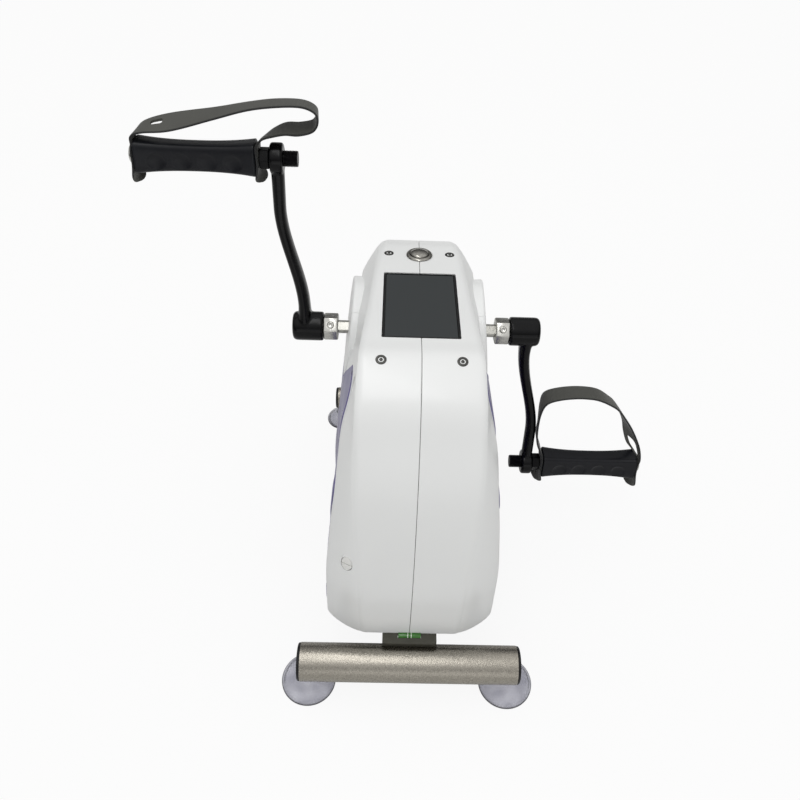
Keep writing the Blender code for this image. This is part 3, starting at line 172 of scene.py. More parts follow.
# Moulded housing, left and right
# Two half shells of glossy ABS, injection moulded, meet in a fine seam on the centre plane.
# Each has a flat middle strip, a soft crease, a rounded shoulder and a flat side that leans inwards.
def skin(name, grid, around=False, caps=False, more=()):
    """A mesh over a grid of points: rows by columns, the columns joined end to end if around.

    caps closes the first and last row with one face each; more lists further faces by grid number.
    """
    rows, columns = grid.shape[:2]
    number = np.arange(rows * columns).reshape(rows, columns)
    if around:
        number = np.hstack([number, number[:, :1]])
    quads = np.stack([number[:-1, :-1], number[:-1, 1:], number[1:, 1:], number[1:, :-1]], -1).reshape(-1, 4)
    faces = quads.tolist() + [list(map(int, face)) for face in more]
    if caps:
        faces += [number[0, :columns].tolist(), number[-1, :columns][::-1].tolist()]
    mesh = bpy.data.meshes.new(name)
    mesh.from_pydata(grid.reshape(-1, 3).tolist(), [], faces)
    welded = bmesh.new()
    welded.from_mesh(mesh)
    bmesh.ops.remove_doubles(welded, verts=welded.verts[:], dist=2e-6)
    bmesh.ops.dissolve_degenerate(welded, edges=welded.edges[:], dist=1e-6)
    bmesh.ops.recalc_face_normals(welded, faces=welded.faces[:])
    if all(edge.is_manifold for edge in welded.edges) and welded.calc_volume(signed=True) < 0:
        bmesh.ops.reverse_faces(welded, faces=welded.faces[:])
    welded.to_mesh(mesh)
    welded.free()
    smooth(mesh)
    piece = bpy.data.objects.new(name, mesh)
    scene.collection.objects.link(piece)
    return piece


def smooth(mesh, angle=32):
    """Shades the mesh smooth, with sharp edges above the angle in degrees."""
    mesh.shade_smooth()
    mesh.set_sharp_from_angle(angle=math.radians(angle))


def settled(piece, angle=32):
    """The piece with its modifiers made part of its mesh."""
    mesh = bpy.data.meshes.new_from_object(piece.evaluated_get(bpy.context.evaluated_depsgraph_get()))
    piece.modifiers.clear()
    piece.data = mesh
    smooth(mesh, angle)
    return piece


def cut(piece, *cutters):
    """The piece less its cutters, which are removed."""
    for cutter in cutters:
        step = piece.modifiers.new(cutter.name, "BOOLEAN")
        step.operation = "DIFFERENCE"
        step.solver = "EXACT"
        step.object = cutter
    bpy.context.view_layer.update()
    settled(piece)
    for cutter in cutters:
        bpy.data.objects.remove(cutter, do_unlink=True)
    return piece


def finish(name, colours, roughness, grain_mm, bump_mm, patch_mm=25.0, detail=5.0, **sockets):
    """A whole surface: patches of noise sway its colour and roughness between two values each.

    Finer noise, the grain, gives the bump. Further values go to the shader's own sockets.
    """
    made = bpy.data.materials.new(name)
    made.use_nodes = True
    tree = made.node_tree
    shader = tree.nodes["Principled BSDF"]
    place = add(tree, "ShaderNodeTexCoord").outputs["Object"]
    patches = add(tree, "ShaderNodeTexNoise", Vector=place, Scale=1000 / patch_mm, Detail=detail).outputs[0]
    dark, light = map(linear, colours)
    tint = add(tree, "ShaderNodeMix", {"data_type": "RGBA"}, in0=patches, in6=dark, in7=light)
    sway = add(tree, "ShaderNodeMapRange", in0=patches, in1=0.3, in2=0.7, in3=roughness[0], in4=roughness[1])
    grain = add(tree, "ShaderNodeTexNoise", Vector=place, Scale=1000 / grain_mm, Detail=3.0).outputs[0]
    bump = add(tree, "ShaderNodeBump", Strength=1.0, Distance=bump_mm / 1000, Height=grain)
    tree.links.new(tint.outputs[2], shader.inputs["Base Color"])
    tree.links.new(sway.outputs[0], shader.inputs["Roughness"])
    tree.links.new(bump.outputs[0], shader.inputs["Normal"])
    for key, value in sockets.items():
        shader.inputs[key.replace("_", " ")].default_value = value
    return made


def fit(piece, body, slot, surface, *nodes):
    """Gives the piece its material, lets it ride on its body and puts it in the place of the CAD nodes."""
    piece.data.materials.clear()
    piece.data.materials.append(surface)
    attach(piece, body)
    if nodes:
        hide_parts(*nodes)
    return piece


def dress(surface, *nodes):
    """Gives CAD nodes that stay a finished material in their objects' slots."""
    for name in nodes:
        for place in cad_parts[name].material_slots:
            place.link = "OBJECT"
            place.material = surface


def smooth_path(points, per_span):
    """A Catmull-Rom curve through the rows of points, with per_span samples between two rows."""
    points = np.asarray(points, float)
    ends = np.vstack([2 * points[0] - points[1], points, 2 * points[-1] - points[-2]])
    t = np.linspace(0, 1, per_span, endpoint=False)[None, :, None]
    a, b, c, d = (ends[i : len(ends) - 3 + i, None] for i in range(4))
    cubic = 2 * b + (c - a) * t + (2 * a - 5 * b + 4 * c - d) * t**2 + (3 * b - a - 3 * c + d) * t**3
    return np.vstack([(cubic / 2).reshape(-1, points.shape[1]), points[-1:]])


def corner_curves(start, at, end, steps):
    """Quadratic curves, each from its start past its corner to its end."""
    t = np.linspace(0, 1, steps)[None, :, None]
    curve = (1 - t) ** 2 * start[:, None] + 2 * t * (1 - t) * at[:, None] + t * t * end[:, None]
    return curve.reshape(-1, 2)


def rounded(corners, steps=7):
    """A profile through corners (a, b, reach).

    A quadratic curve cuts each corner, from reach before it to reach behind it.
    """
    corners = np.asarray(corners, float)
    at, reach = corners[:, :2], corners[:, 2:]
    back = np.vstack([at[:1], at[:-1]]) - at
    on = np.vstack([at[1:], at[-1:]]) - at
    start = at + back / np.maximum(np.linalg.norm(back, axis=1)[:, None], 1e-9) * reach
    end = at + on / np.maximum(np.linalg.norm(on, axis=1)[:, None], 1e-9) * reach
    return corner_curves(start, at, end, steps)


def rod(radius, low, high, reach, steps=7):
    """The profile of a round rod from low to high, with both its edges cut."""
    return rounded([(0, low, 0), (radius, low, reach), (radius, high, reach), (0, high, 0)], steps)


def drill(radius, low, high):
    """The profile of the cutter for a round hole."""
    return [(0, low), (radius, low), (radius, high), (0, high)]


def turned(name, profile, start, axis, around=72):
    """A turned form: start + axis * h + r * (u cos a + v sin a) for each profile point (r, h) and angle a."""
    axis = np.asarray(axis, float) / np.linalg.norm(axis)
    side = np.cross(axis, (0.0, 0.0, 1.0) if abs(axis[2]) < 0.9 else (0.0, 1.0, 0.0))
    side /= np.linalg.norm(side)
    other = np.cross(axis, side)
    a = np.linspace(0, 2 * np.pi, around, endpoint=False)[None, :, None]
    r, h = (np.asarray(profile, float)[:, i, None, None] for i in (0, 1))
    grid = np.asarray(start, float) + axis * h + r * (side * np.cos(a) + other * np.sin(a))
    return skin(name, grid, around=True)


def plate(name, loop, profile, place):
    """A closed outline pushed outwards and lifted by each profile point in turn, with flat ends."""
    loop = np.asarray(loop, float)
    run = np.roll(loop, -1, 0) - np.roll(loop, 1, 0)
    out = np.stack([run[:, 1], -run[:, 0]], 1) / np.linalg.norm(run, axis=1)[:, None]
    push, lift = (np.asarray(profile, float)[:, i, None, None] for i in (0, 1))
    flat = loop + out * push
    grid = np.concatenate([flat, np.broadcast_to(lift, flat.shape[:2] + (1,))], 2)
    place = np.array(place)
    return skin(name, grid @ place[:3, :3].T + place[:3, 3], around=True, caps=True)


def round_loop(corners, reach, steps=7):
    """A closed outline whose corners are cut by quadratic curves, as in rounded."""
    at = np.asarray(corners, float)
    back, on = np.roll(at, 1, 0) - at, np.roll(at, -1, 0) - at
    start = at + back / np.linalg.norm(back, axis=1)[:, None] * reach
    end = at + on / np.linalg.norm(on, axis=1)[:, None] * reach
    return corner_curves(start, at, end, steps)


def rectangle(width, length, reach, steps=7):
    """The outline of a rectangle about the origin, with its corners cut as in round_loop."""
    x, y = width / 2, length / 2
    return round_loop([(-x, -y), (x, -y), (x, y), (-x, y)], reach, steps)


FRONT_Y, REAR_Y = -0.171, 0.181
BASE_TOP = 0.0693
AXLE = np.array((0.0, 0.095, 0.254))
CROWN, CHIN, FACE, FOOT = 0.3465, 0.146, 0.261, 0.0696
SLOPE = math.radians(9.75)
SCREEN_BEHIND, FALL = 0.1645, math.tan(SLOPE)
SCREEN_WIDTH, SCREEN_LENGTH = 0.0672, 0.1055
UPPER_RECESS = (-0.0570, -0.0393, 0.3188)
LOWER_RECESS = (-0.0615, -0.1350, 0.1800)
RECESS_WIDTH, RECESS_HEIGHT = 0.0118, 0.0190
BUTTON_BEHIND, BUTTON_HOLE = 0.3025, 0.0114
SHELL_WALL = 0.0025


def crown_fall(behind):
    """Height of the top panel at a distance behind the front tube."""
    return CROWN - 0.0035 - (behind - SCREEN_BEHIND) * FALL


HOUSING_KNOTS = [
    (0.0215, FOOT, 0.0490),
    (0.0240, FOOT + 0.04, 0.0505),
    (0.0265, CHIN, 0.0510),
    (0.0370, CHIN + 0.058, 0.0525),
    (0.0545, FACE, 0.0550),
    (0.0760, FACE + 0.040, 0.0550),
    (0.1010, CROWN - 0.016, 0.0545),
    (0.1345, CROWN, 0.0530),
    (SCREEN_BEHIND, crown_fall(SCREEN_BEHIND), 0.0515),
    (0.2165, crown_fall(0.2165), 0.0475),
    (0.2685, crown_fall(0.2685), 0.0435),
    (0.3025, crown_fall(0.3025) - 0.0002, 0.0405),
    (0.3270, crown_fall(0.3270) - 0.0010, 0.0370),
    (0.3385, crown_fall(0.3385) - 0.0070, 0.0360),
    (0.3420, crown_fall(0.3410) - 0.0420, 0.0380),
    (0.3410, CHIN, 0.0480),
    (0.3410, FOOT, 0.0500),
]


def housing_rows(per_span):
    """y, z and strip half width along the housing's side outline, from its front foot to its back foot."""
    rows = smooth_path(HOUSING_KNOTS, per_span)
    rows[:, 1] = np.maximum(rows[:, 1], FOOT)
    rows[:, 0] += FRONT_Y
    return (column[:, None] for column in rows.T)


WALL_KNOTS = [
    (-0.204, 0.0832), (-0.144, 0.0818), (-0.108, 0.0789), (-0.074, 0.0757), (-0.039, 0.0717), (0.000, 0.0679),
    (0.030, 0.0598), (0.060, 0.0555), (0.106, 0.0445),
]


def wall_x(y, z):
    """Half width of the side wall; its level lines climb to the front, where the housing is widest."""
    curve = smooth_path(WALL_KNOTS, 6)
    return np.interp(z - AXLE[2] + 0.219 * (y - AXLE[1] + 0.0505), curve[:, 0], curve[:, 1])


def inward(y, z):
    """Unit steps in y and z from the outline towards the housing's middle line, and its distance."""
    to_y, to_z = FRONT_Y + 0.19 - y, np.clip(z, FOOT, 0.23) - z
    away = np.hypot(to_y, to_z)
    return to_y / away, to_z / away, away


def slender_end(rows, columns):
    """Faces that close the last column's slender loop: strips across it low down, one face at its top."""
    edge = np.arange(rows) * columns + columns - 1
    strips = rows // 4
    across = [(edge[i], edge[i + 1], edge[-2 - i], edge[-1 - i]) for i in range(strips)]
    return [*across, edge[strips:-strips]]


def housing_skin(name, sign):
    """Columns run from the seam over the strip, the crease and the shoulder onto the side wall.

    The shoulder is x = strip + (wall - strip) * ease, where ease turns from sin(a pi / 2)^1.5 in front into
    a^0.75 at the crown, while the surface sinks by 1 - cos(a pi / 2)^1.5 towards the middle line.
    """
    y, z, strip = housing_rows(16)
    step_y, step_z, away = inward(y, z)
    top = np.clip((z - FACE) / (CROWN - FACE), 0, 1)
    depth = 0.0244 + 0.0118 * top**0.7
    seam = np.array([[0.00016, 0.0003, 0.0006, 0.0011]]) + 0 * y
    sunk = np.array([[0.0006, 0.00025, 0.00006, 0.0]]) + 0 * y
    middle = np.linspace(0.04, 1, 12)[None] * (strip - 0.007)
    crease = np.linspace(0.12, 1, 8)[None]
    a = np.linspace(0, 1, 24)[None, 1:]
    soft = 0.40 * a + 0.54 * (1 - np.cos(a * np.pi / 2))
    flat = 0.94 * (1 - np.cos(a * np.pi / 2) ** 1.5)
    shoulder = depth * (0.06 + soft * top + flat * (1 - top))
    side = depth + (away - depth) * np.concatenate([[0.02, 0.05], np.linspace(0.1, 0.97, 14)])[None]
    inset = np.hstack([sunk, 0 * middle, 0.06 * depth * crease**2.4, shoulder, side])
    crossed_y, crossed_z = y + step_y * inset, z + step_z * inset
    wall = wall_x(crossed_y, crossed_z)
    ease = np.sin(a * np.pi / 2) ** 1.5 * (1 - top) + a**0.75 * top
    bulge = slice(24, 24 + a.size)
    over_shoulder = strip + (wall[:, bulge] - strip) * ease
    x = np.hstack([seam, middle, strip - 0.007 + 0.007 * crease, over_shoulder, wall[:, bulge.stop :]])
    grid = np.stack([sign * x, crossed_y, crossed_z], -1)
    grid[[0, -1], :, 2] = FOOT
    shell = skin(name, grid, more=slender_end(*x.shape))
    if sum(f.normal.x * f.area for f in shell.data.polygons) * sign < 0:
        shell.data.flip_normals()
    wall = shell.modifiers.new("wall", "SOLIDIFY")
    wall.thickness = SHELL_WALL
    wall.offset = -1
    return settled(shell)


def panel_place(behind, x=0.0):
    """The seat on the top panel: +Z leaves the panel and +Y climbs towards the back."""
    y, z, _ = (column[:, 0] for column in housing_rows(16))
    crown = z > FACE
    at = FRONT_Y + behind
    low, here, high = np.interp((at - 0.004, at, at + 0.004), y[crown], z[crown])
    turn = Matrix.Rotation(math.atan2(high - low, 0.008), 4, "X")
    return Matrix.Translation((x, at, here)) @ turn


# ABS, injection moulded in a polished tool: near white, glossy, with a faint ripple from shrinkage.
glossy_abs = finish(
    "glossy_moulded_abs", ("#E6E7E6", "#EAEBEA"), (0.28, 0.34), 2.2, 0.004, 80.0, 0.0, IOR=1.53,
    Coat_Weight=0.1, Coat_Roughness=0.05,
)


def seat_at(at, columns):
    """The seat at a place, from the directions of its X, Y and Z."""
    place = Matrix(np.stack(columns, 1).tolist()).to_4x4()
    place.translation = Vector(at)
    return place


def recess_place(at, way):
    """The seat of an oval recess: +Z leaves the wall along way, +X runs level and +Y up along the wall."""
    way = Vector(way).normalized()
    level = Vector((0, 0, 1)).cross(way).normalized()
    return seat_at(at, [level, way.cross(level), way])


def oval(width, height, around=64):
    """The outline (w / 2 cos t, h / 2 sin t)."""
    t = np.linspace(0, 2 * np.pi, around, endpoint=False)
    return np.stack([width / 2 * np.cos(t), height / 2 * np.sin(t)], 1)


RECESSES = [
    recess_place(UPPER_RECESS, (-0.98, -0.04, 0.18)),
    recess_place(LOWER_RECESS, (-0.42, -0.89, 0.17)),
]
SCREEN = panel_place(SCREEN_BEHIND + SCREEN_LENGTH / 2 * math.cos(SLOPE))
BUTTON = panel_place(BUTTON_BEHIND)
button_axis = np.array(BUTTON)[:3, 2]
for side, sign in SIDES:
    shell = housing_skin(f"{side}_shell_moulding", sign)
    window = plate("window", rectangle(0.0684, 0.1067, 0.0018), [(0, -0.02), (0, 0.02)], SCREEN)
    button_hole = turned("button_hole", drill(BUTTON_HOLE, -0.03, 0.03), BUTTON.translation, button_axis)
    cutters = [window, button_hole]
    if side == "left":
        recess = oval(RECESS_WIDTH, RECESS_HEIGHT)
        cutters += [plate("recess", recess, [(0, -0.02), (0, 0.02)], place) for place in RECESSES]
    cut(shell, *cutters)
    fit(shell, "housing", "white_abs", glossy_abs, f"{side}_housing_shell")


# Shell screws
# Two long steel screws in oval recesses of the left half pull both halves together.
# Their oval heads are slotted, and lacquered white to match the housing.
white_lacquer = finish("white_lacquered_steel", ("#DEDEDA", "#E8E8E5"), (0.26, 0.36), 0.5, 0.006, 6.0)
for row, place in zip(("upper", "lower"), RECESSES):
    cup = plate(f"{row}_screw_well", oval(0.0134, 0.0206), [(0, -0.0050), (0, -0.0012)], place)
    cut(cup, plate("bore", oval(RECESS_WIDTH, RECESS_HEIGHT), [(0, -0.0040), (0, 0.01)], place))
    fit(cup, "housing", "white_abs", glossy_abs, "left_housing_shell")
    head = plate(
        f"{row}_shell_screw_head", oval(0.0108, 0.0180),
        [(0, -0.0042), (0, -0.0016), (-0.0004, -0.0010), (-0.0013, -0.0008)], place,
    )
    cut(head, plate("slot", rectangle(0.02, 0.0016, 0.0001, 2), [(0, -0.0021), (0, 0.01)], place))
    fit(head, "housing", "zinc_steel", white_lacquer, f"{row}_shell_screw")


# Axle covers
# Round covers of the same glossy ABS stand on the side walls and lean with them.
# Each is split across the middle, so that it fits round the shaft.
COVER_OUT, COVER_RADIUS, COVER_BORE = 0.0696, 0.052, 0.0081


def cover_place(sign):
    """The seat on the cover's outer face: +Z points out of it and +Y up along it."""
    out = Vector((sign, 0, 0.115)).normalized()
    up = (Vector((0, 0, 1)) - out * out.z).normalized()
    return seat_at((sign * COVER_OUT, AXLE[1], AXLE[2]), [up.cross(out), up, out])


for side, sign in SIDES:
    seat = cover_place(sign)
    profile = rounded([
        (COVER_BORE, -0.016, 0), (COVER_BORE, 0, 0.0005), (0.045, 0, 0.003), (0.0512, -0.0004, 0.0014),
        (COVER_RADIUS, -0.0024, 0.0006), (COVER_RADIUS, -0.016, 0), (COVER_BORE, -0.016, 0),
    ])
    cover = turned(f"{side}_axle_cover", profile, seat.translation, np.array(seat)[:3, 2], 144)
    split = seat @ Matrix.Rotation(math.radians(30 * sign), 4, "Z")
    face_joint = plate("face_joint", rectangle(0.0006, 0.12, 0.0001, 2), [(0, -0.0008), (0, 0.01)], split)
    rim_joint = plate(
        "rim_joint", rectangle(0.0006, 0.006, 0.0001, 2), [(0, -0.03), (0, 0.01)],
        split @ Matrix.Translation((0, 0.0545, 0)),
    )
    cut(cover, face_joint, rim_joint)
    fit(cover, "housing", "white_abs", glossy_abs, f"{side}_hub_cover")


# Side panels
# Thin purple ABS inserts, injection moulded, follow the flat sides below and in front of the covers.
# Two notches leave three tongues to the front, and three low waves slant across.
PANEL_FOOT, COVER_GAP = 0.0736, 0.0545
purple_abs = finish("purple_moulded_abs", ("#544E80", "#625C8C"), (0.26, 0.36), 0.9, 0.006, 30.0, IOR=1.53)


def panel_skin(name, sign):
    """The side wall lifted between two borders round the axle, in rays r(t) = inner + u * (outer - inner).

    The outer border has notches exp(-((z - c) / w)^n) that part the tongues; the inner one clears the cover.
    Three slanting waves, exp(-((v - c) / w)^6) over v = 0.84 y + 0.55 z, rise from the thin insert.
    """
    y, z, _ = housing_rows(16)
    step_y, step_z, _ = inward(y, z)
    ahead = np.clip((AXLE[1] - 0.09 - y) / 0.02, 0, 1)
    upper = 0.030 * np.exp(-(((z - 0.268) / 0.011) ** 2))
    lower = 0.022 * np.exp(-(((z - 0.178) / 0.034) ** 4))
    inset = 0.0310 + 0.0200 * np.clip((z - 0.235) / 0.02, 0, 1) + ahead * (upper + lower)
    deep = (y + step_y * inset)[:, 0]
    high = (PANEL_FOOT + (z + step_z * inset - FOOT) * 0.1564 / 0.1604)[:, 0]
    deep = np.append(deep, np.linspace(deep[-1], deep[0], 80))
    high = np.append(high, np.full(80, PANEL_FOOT))
    ray = np.mod(-np.arctan2(high - AXLE[2], deep - AXLE[1]), 2 * np.pi)
    order = np.argsort(ray)
    t = np.linspace(0.3, 1.4 * np.pi, 500)
    outer = np.interp(t, ray[order], np.hypot(high - AXLE[2], deep - AXLE[1])[order])
    past_cover = np.maximum(COVER_GAP, 0.060 / np.maximum(np.cos(t - np.pi), 0.1))
    inner = np.where(t > np.pi, past_cover, COVER_GAP)
    t, outer, inner = (values[outer > inner + 0.002, None] for values in (t, outer, inner))
    edge = np.array([0, 0, 0.0002, 0.0006, 0.0013, 0.0024])
    lift = np.array([-0.0046, -0.0010, -0.0004, -0.00014, -0.00003, 0])
    across = np.linspace(0.01, 0.99, 40)[None] * (outer - inner - 0.0048) + inner + 0.0024
    r = np.hstack([inner + edge, across, outer - edge[::-1]])
    deep, high = AXLE[1] + r * np.cos(t), AXLE[2] - r * np.sin(t)
    v = 0.838 * deep + 0.546 * high
    waves = ((0.0006, 0.1335, 0.031), (0.0010, 0.047, 0.017), (0.0009, -0.047, 0.0105))
    relief = 0.0003 + sum(rise * np.exp(-(((v - at) / wide) ** 6)) for rise, at, wide in waves)
    relief = np.maximum(relief, 0.0031 * np.clip((deep - 0.02) / 0.03, 0, 1))
    gone = np.clip((v - 0.166) / 0.004, 0, 1) * np.clip((0.049 - deep) / 0.004, 0, 1)
    raised = relief - 0.005 * gone + np.concatenate([lift, np.zeros(40), lift[::-1]])[None]
    raised[[0, -1]] = -0.0015
    grid = np.stack([sign * (wall_x(deep, high) + raised), deep, high], -1)
    return skin(name, grid, around=True, caps=True)


for side, sign in SIDES:
    panel = panel_skin(f"{side}_side_insert", sign)
    fit(panel, "housing", "purple_abs", purple_abs, f"{side}_side_panel")


# Display
# A black moulded frame lies flush in the top panel, held by the four screws round it.
# Its cover glass is bonded in and dark grey while the display is off.
black_plastic = finish(
    "black_moulded_plastic", ("#0B0B0C", "#121213"), (0.38, 0.50), 0.7, 0.012, 12.0, Specular_IOR_Level=0.3,
)
frame_piece = plate(
    "display_bezel", rectangle(SCREEN_WIDTH, SCREEN_LENGTH, 0.0016),
    [(0, -0.006), (0, -0.0009), (-0.0002, -0.0005), (-0.0006, -0.0004)], SCREEN,
)
well = plate("glass_well", rectangle(0.0640, 0.1023, 0.0008), [(0, -0.0024), (0, 0.01)], SCREEN)
cut(frame_piece, well)
fit(frame_piece, "housing", "black_plastic", black_plastic, "display_frame")
cover_glass = finish(
    "dark_cover_glass", ("#36393A", "#3A3D3E"), (0.10, 0.14), 6.0, 0.001, 90.0, Specular_IOR_Level=0.2,
)
glass = plate(
    "cover_glass", rectangle(0.0634, 0.1017, 0.0007), [(0, -0.0023), (0, -0.0010), (-0.0002, -0.0008)], SCREEN
)
fit(glass, "housing", "screen_glass", cover_glass, "display_glass")


# Push button and panel screws
# A polished stainless button: a turned, chamfered ring with a domed cap that is pressed down.
# Four small screws of dull stainless, each with a sunk ring round a low dome, hold the panel.
CAP_RADIUS, SCREW_LIFT = 0.009, 0.0003
polished_steel = finish(
    "polished_stainless_steel", ("#6C6A64", "#B9B7B0"), (0.10, 0.22), 1.2, 0.03, 2.2, Metallic=1.0,
)
ring = turned(
    "button_ring",
    rounded([
        (0.0093, -0.008, 0), (0.0093, 0.0018, 0.0003), (0.0100, 0.0023, 0.0003),
        (0.0118, 0.0021, 0.0008), (0.0130, 0.0007, 0.0003), (0.0110, 0.0007, 0),
        (0.0110, -0.016, 0.0004), (0, -0.016, 0), (0, -0.0088, 0), (0.0093, -0.0088, 0), (0.0093, -0.008, 0),
    ]),
    BUTTON.translation, button_axis, 96,
)
fit(ring, "housing", "polished_button", polished_steel, "button_body")
a = np.linspace(0, 1, 16)
dome = np.stack([CAP_RADIUS * np.sin(a * np.pi / 2), 0.0020 + 0.0028 * np.cos(a * np.pi / 2)], 1)
cap = turned(
    "button_cap_dome", np.vstack([dome, [(CAP_RADIUS, -0.006), (0, -0.006)]]), BUTTON.translation,
    button_axis, 96,
)
fit(cap, "button_cap", "polished_button", polished_steel, "power_button")
worn_steel = finish(
    "dull_stainless_steel", ("#3C3C3A", "#5A5A57"), (0.32, 0.44), 0.5, 0.02, 3.0, Metallic=1.0,
)
for row, behind, offset in (("lower", 0.1345, 0.0338), ("upper", 0.3050, 0.0300)):
    for side, sign in SIDES:
        seat = panel_place(behind, sign * offset)
        outward = np.array(seat)[:3, 2]
        head = turned(
            f"{row}_panel_screw_head_{side}",
            rounded([
                (0, 0.0007, 0), (0.0013, 0.0004, 0.0004), (0.0016, -0.0005, 0.0001),
                (0.0023, -0.0005, 0.0001), (0.0026, 0.0002, 0.0002), (0.0044, 0.0001, 0.0003),
                (0.0047, -0.0003, 0.0001), (0.0045, -0.0040, 0), (0, -0.0040, 0),
            ]),
            np.array(seat.translation) + outward * SCREW_LIFT, outward, 48,
        )
        fit(head, "housing", "zinc_steel", worn_steel, f"{row}_panel_screw_{side}")


# Crossbars
# Stainless tubes, bead blasted to an even warm grey grain, closed by black plastic plugs.
blasted_steel = finish(
    "bead_blasted_stainless_steel", ("#76716A", "#B6B1A6"), (0.24, 0.30), 0.9, 0.17, 1.6, Metallic=1.0,
)
FRONT_TUBE_HEIGHT = 0.046
for prefix, y, height, radius, length in (
    ("front", FRONT_Y, FRONT_TUBE_HEIGHT, 0.019, 0.222), ("rear", REAR_Y, 0.042, 0.0135, 0.188),
):
    half = length / 2 - 0.0028
    bore = radius - 0.002
    tube = turned(
        f"{prefix}_tube",
        rounded([
            (bore, -half, 0), (radius, -half, 0.0004), (radius, half, 0.0004), (bore, half, 0),
            (bore, -half, 0),
        ]),
        (0, y, height), X_AXIS, 128,
    )
    fit(tube, "housing", "blasted_stainless", blasted_steel, f"{prefix}_crossbar")
    for side, sign in SIDES:
        plug = turned(
            f"{prefix}_plug_{side}",
            rounded([
                (0, 0.0025, 0), (radius - 0.0006, 0.0025, 0.0016), (radius - 0.0004, 0, 0.0003),
                (bore - 0.0003, 0, 0), (bore - 0.0003, -0.012, 0.001), (0, -0.012, 0),
            ]),
            (sign * (length / 2 - 0.0025), y, height), sign * X_AXIS, 96,
        )
        fit(plug, "housing", "black_plastic", black_plastic, f"{prefix}_end_cap_{side}")


# Suction cups
# Soft clear PVC, injection moulded: a thin skirt, a domed body and a neck under each tube end.
# A darker rim is painted shade: it stands for the thickness that is looked through at the skirt's edge.
# Its colour swings in large patches between grey and near white: these are painted reflections of the
# surroundings.
clear_pvc = finish(
    "clear_soft_pvc_painted_reflections", ("#9C9CA8", "#D6D6DE"), (0.03, 0.08), 9.0, 0.25, 12.0, 0.0, IOR=1.53,
    Transmission_Weight=0.7,
)


def paint_edge_shade(surface, colour):
    """Paints shade into the surface: mixes the colour in as far as the point attribute "edge" says."""
    tree = surface.node_tree
    base = tree.nodes["Principled BSDF"].inputs["Base Color"]
    share = add(tree, "ShaderNodeAttribute", {"attribute_name": "edge"}).outputs["Fac"]
    whole = base.links[0].from_socket
    mixed = add(tree, "ShaderNodeMix", {"data_type": "RGBA"}, in0=share, in6=whole, in7=linear(colour))
    tree.links.new(mixed.outputs[2], base)


def mark_painted_edge_shade(piece, off, start, end):
    """Lets the point attribute "edge", the share of painted edge shade, rise from 0 to 1 while off goes from
    start to end.
    """
    edge = piece.data.attributes.new("edge", "FLOAT", "POINT")
    edge.data.foreach_set("value", np.clip((off - start) / (end - start), 0, 1))


def vertices_of(piece):
    """The positions of the piece's vertices, one row each."""
    return np.array([vertex.co for vertex in piece.data.vertices])


# Painted shade: the cups darken towards #2A2A30 at the rim of the skirt.
paint_edge_shade(clear_pvc, "#2A2A30")
for prefix, y, radius, top, reach in (
    ("front", FRONT_Y, 0.028, 0.0267, 0.1025), ("rear", REAR_Y, 0.018, 0.0282, 0.0885),
):
    dome = top * 0.52
    profile = rounded([
        (0, top, 0), (0.005, top, 0.0006), (0.005, dome + 0.0015, 0.0012),
        (radius * 0.34, dome + 0.0010, 0.0015), (radius * 0.82, dome * 0.46, 0.005),
        (radius, 0.0014, 0.0006), (radius, 0, 0.0003), (radius - 0.003, 0, 0.0008),
        (radius * 0.80, dome * 0.46 - 0.0024, 0.004), (radius * 0.32, dome - 0.0016, 0.003),
        (0, dome - 0.0020, 0),
    ])
    for side, sign in SIDES:
        cup = turned(f"{prefix}_cup_{side}", profile, (sign * reach, y, 0), (0, 0, 1), 96)
        off = np.linalg.norm(vertices_of(cup)[:, :2] - (sign * reach, y), axis=1)
        mark_painted_edge_shade(cup, off, radius - 0.0016, radius - 0.0004)
        fit(cup, "housing", "clear_pvc", clear_pvc, f"{prefix}_suction_cup_{side}")


# Base channel and spirit level
# Folded steel with a dark grey powder coat joins the tubes; a green level vial lies in its front end.
powder_coat = finish(
    "dark_powder_coated_steel", ("#403F37", "#4B4A42"), (0.42, 0.56), 0.8, 0.03, 20.0, Metallic=0.5,
)
front, back, web_back = FRONT_Y + 0.0105, REAR_Y + 0.006, REAR_Y - 0.0141
DECK_WIDTH, WEB_OUT, WEB_THICKNESS, MOUTH_RADIUS = 0.054, 0.025, 0.004, 0.0191
deck = plate(
    "channel_deck", rectangle(DECK_WIDTH, back - front, 0.003),
    [(-0.0005, 0.0653), (0, 0.0658), (0, 0.0687), (-0.0006, BASE_TOP)],
    Matrix.Translation((0, (front + back) / 2, 0)),
)
VIAL_AT, VIAL_SEAT, VIAL_RADIUS = (0, FRONT_Y + 0.0195, BASE_TOP - 0.001), 0.0032, 0.0029
vial_seat = turned("vial_seat", drill(VIAL_SEAT, -0.0116, 0.0116), VIAL_AT, X_AXIS, 40)
cut(deck, vial_seat)
fit(deck, "housing", "dark_painted_steel", powder_coat, "base_channel")
walls = [
    ("lip", 0, 0.050, front, front + 0.003),
    ("left_web", -WEB_OUT, WEB_THICKNESS, front, web_back),
    ("right_web", WEB_OUT, WEB_THICKNESS, front, web_back),
]
tube_at = (0, FRONT_Y, FRONT_TUBE_HEIGHT)
for name, x, width, near, far in walls:
    web = plate(
        f"channel_{name}", rectangle(width, far - near, 0.0008), [(0, 0.0513), (0, 0.0660)],
        Matrix.Translation((x, (near + far) / 2, 0)),
    )
    mouth = turned("mouth", drill(MOUTH_RADIUS, -0.1, 0.1), tube_at, X_AXIS, 96)
    cut(web, mouth)
    fit(web, "housing", "dark_painted_steel", powder_coat, "base_channel")
green_liquid = finish(
    "green_spirit_in_acrylic", ("#2F6A22", "#478A34"), (0.06, 0.12), 4.0, 0.002, 6.0, IOR=1.49,
    Transmission_Weight=0.25,
)
vial = turned("level_vial", rod(VIAL_RADIUS, -0.0113, 0.0113, 0.0008), VIAL_AT, X_AXIS, 48)
fit(vial, "housing", "green_vial", green_liquid, "spirit_level_vial")
